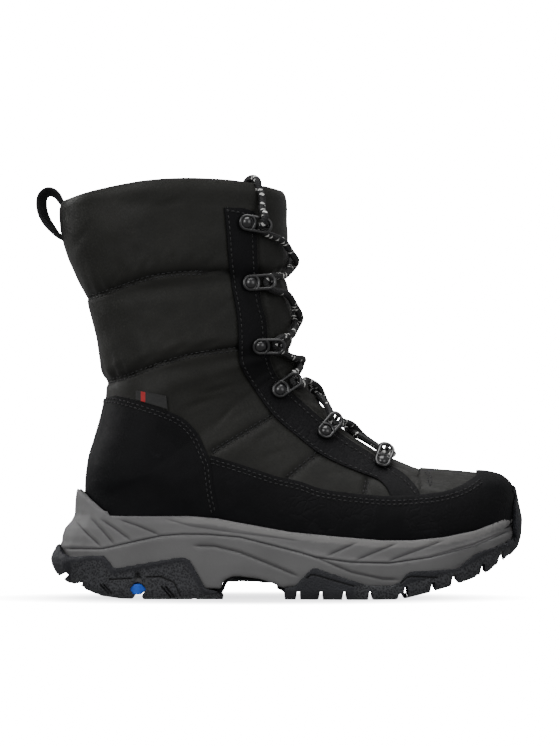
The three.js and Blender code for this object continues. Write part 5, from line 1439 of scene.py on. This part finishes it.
def sewn(routes, tree):
    """Stitches along routes: each is a place, its outward direction and its way, laid on the surface found."""
    ring_turns = np.arange(6) * math.pi / 3
    profile = [(-0.5, 0.35), (-0.36, 0.9), (0.0, 1.0), (0.36, 0.9), (0.5, 0.35)]
    verts, faces = [], []
    for route in routes:
        route = np.asarray(route)
        run = np.concatenate([[0], np.cumsum(np.linalg.norm(np.diff(route, axis=0), axis=1))])
        if run[-1] < STITCH_PITCH:
            continue
        for middle in np.arange(STITCH_PITCH / 2, run[-1], STITCH_PITCH):
            ends = [Vector([np.interp(middle + d, run, route[:, c]) for c in range(3)])
                    for d in (-STITCH_LENGTH / 2, STITCH_LENGTH / 2)]
            spots = [tree.find_nearest(end) for end in ends]
            if any(s[0] is None or s[3] > 0.006 for s in spots):
                continue
            centre = (spots[0][0] + spots[1][0]) / 2
            out = (spots[0][1] + spots[1][1]).normalized()
            if out.dot(Vector((centre.x - 0.03, centre.y, 0))) < 0:
                out = -out
            way = (spots[1][0] - spots[0][0]).normalized()
            side = way.cross(out).normalized()
            shift = len(verts)
            for share, size in profile:
                lift = (0.25 if abs(share) < 0.2 else 0.1 if abs(share) < 0.4 else -0.35) * STITCH_WIDTH
                for turn in ring_turns:
                    verts.append(tuple(centre + way * (share * STITCH_LENGTH) + out * lift
                                       + side * (math.cos(turn) * size * STITCH_WIDTH / 2)
                                       + out * (math.sin(turn) * size * STITCH_WIDTH / 2)))
            for ring in range(4):
                for j in range(6):
                    k = (j + 1) % 6
                    a, b = shift + ring * 6, shift + (ring + 1) * 6
                    faces.append((a + j, a + k, b + k, b + j))
            faces.append(tuple(shift + j for j in reversed(range(6))))
            faces.append(tuple(shift + 24 + j for j in range(6)))
    mesh = bpy.data.meshes.new("stitches")
    mesh.from_pydata(verts, [], faces)
    mesh.update()
    made = bpy.data.objects.new("stitches", mesh)
    bpy.context.scene.collection.objects.link(made)
    made.data.shade_smooth()
    made.data.materials.append(thread_finish)
    return made


def line_over(line, sides, apart):
    """Routes on both sides of the boot, beside a line of the side view by so many millimetres."""
    line = np.asarray(line, dtype=float)
    way = np.gradient(line, axis=0)
    way /= np.linalg.norm(way, axis=1)[:, None]
    moved = line + np.column_stack([-way[:, 1], way[:, 0]]) * apart
    routes = []
    for side in sides:
        route = []
        for x, z in moved:
            hit = surface_tree.ray_cast(Vector((x / 1000, side * 0.2, z / 1000)), Vector((0, -side, 0)))
            if hit[0] is not None:
                route.append(tuple(hit[0]))
        if len(route) > 2:
            routes.append(route)
    return routes


facings = [bpy.data.objects["facing_lateral"], bpy.data.objects["facing_medial"]]
surface_tree = shell_tree([upper, counter, mudguard] + facings)
counter_line = rounded_line(side_view(COUNTER_TOP[1:] + [[0.344, 0.18], [0.349, 0.13], [0.358, 0.075]]), 1.6)
guard_line = rounded_line(side_view(MUDGUARD_TOP[1:]), 1.6)
leather_tree = shell_tree([counter, mudguard] + facings)
BOTH_SIDES = (-1, 1)
COUNTER_ROWS = (-2.4, -4.6)
GUARD_ROWS = (2.2, 4.4)
STAY_ROWS = (2.2, 2.0, 0.0)
QUILT_ROWS = (0.7, -1.3)
SEAM_ROWS = (0.9, -0.9)


def rows_over(line, rows):
    return [route for apart in rows for route in line_over(line, BOTH_SIDES, apart)]


counter_stitches = sewn(rows_over(counter_line, COUNTER_ROWS), leather_tree)
guard_stitches = sewn(rows_over(guard_line, GUARD_ROWS), leather_tree)
stay_rear = rounded_line(side_view(EYESTAY_REAR[:-2]), 1.6)
stay_front = rounded_line(side_view(EYESTAY_FRONT[1:]), 1.6)
stay_top = side_view([[0.371, 0.907], [0.39, 0.902], [0.41, 0.897], [0.425, 0.892]])
stay_routes = [route for line, apart in zip((stay_rear, stay_front, stay_top), STAY_ROWS)
               for route in line_over(line, BOTH_SIDES, apart)]
stay_stitches = sewn(stay_routes, leather_tree)
nylon_tree = shell_tree([upper])
quilt_routes = []
for line in QUILT_SEAMS:
    shown = rounded_line([p for p in line if -50 < p[0] < 52], 1.6)
    quilt_routes += rows_over(shown, QUILT_ROWS)
for line in BIAS_SEAMS:
    shown = rounded_line(line, 1.6) if len(line) > 2 else np.linspace(line[0], line[-1], 14)
    quilt_routes += rows_over(shown, SEAM_ROWS)
vamp_seam = rounded_line(np.array([(166.5, 78.5), (168.2, 73.5), (167.4, 70)]), 1.0)
quilt_routes += rows_over(vamp_seam, SEAM_ROWS)
quilt_stitches = sewn(quilt_routes, nylon_tree)
for name, stitches, slot_name in (("counter_stitching", counter_stitches, "leather"),
                                  ("mudguard_stitching", guard_stitches, "leather"),
                                  ("eyestay_stitching", stay_stitches, "leather"),
                                  ("quilt_stitching", quilt_stitches, "nylon")):
    stitches.name = name
    stitches.data.name = name
    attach(stitches, "root")
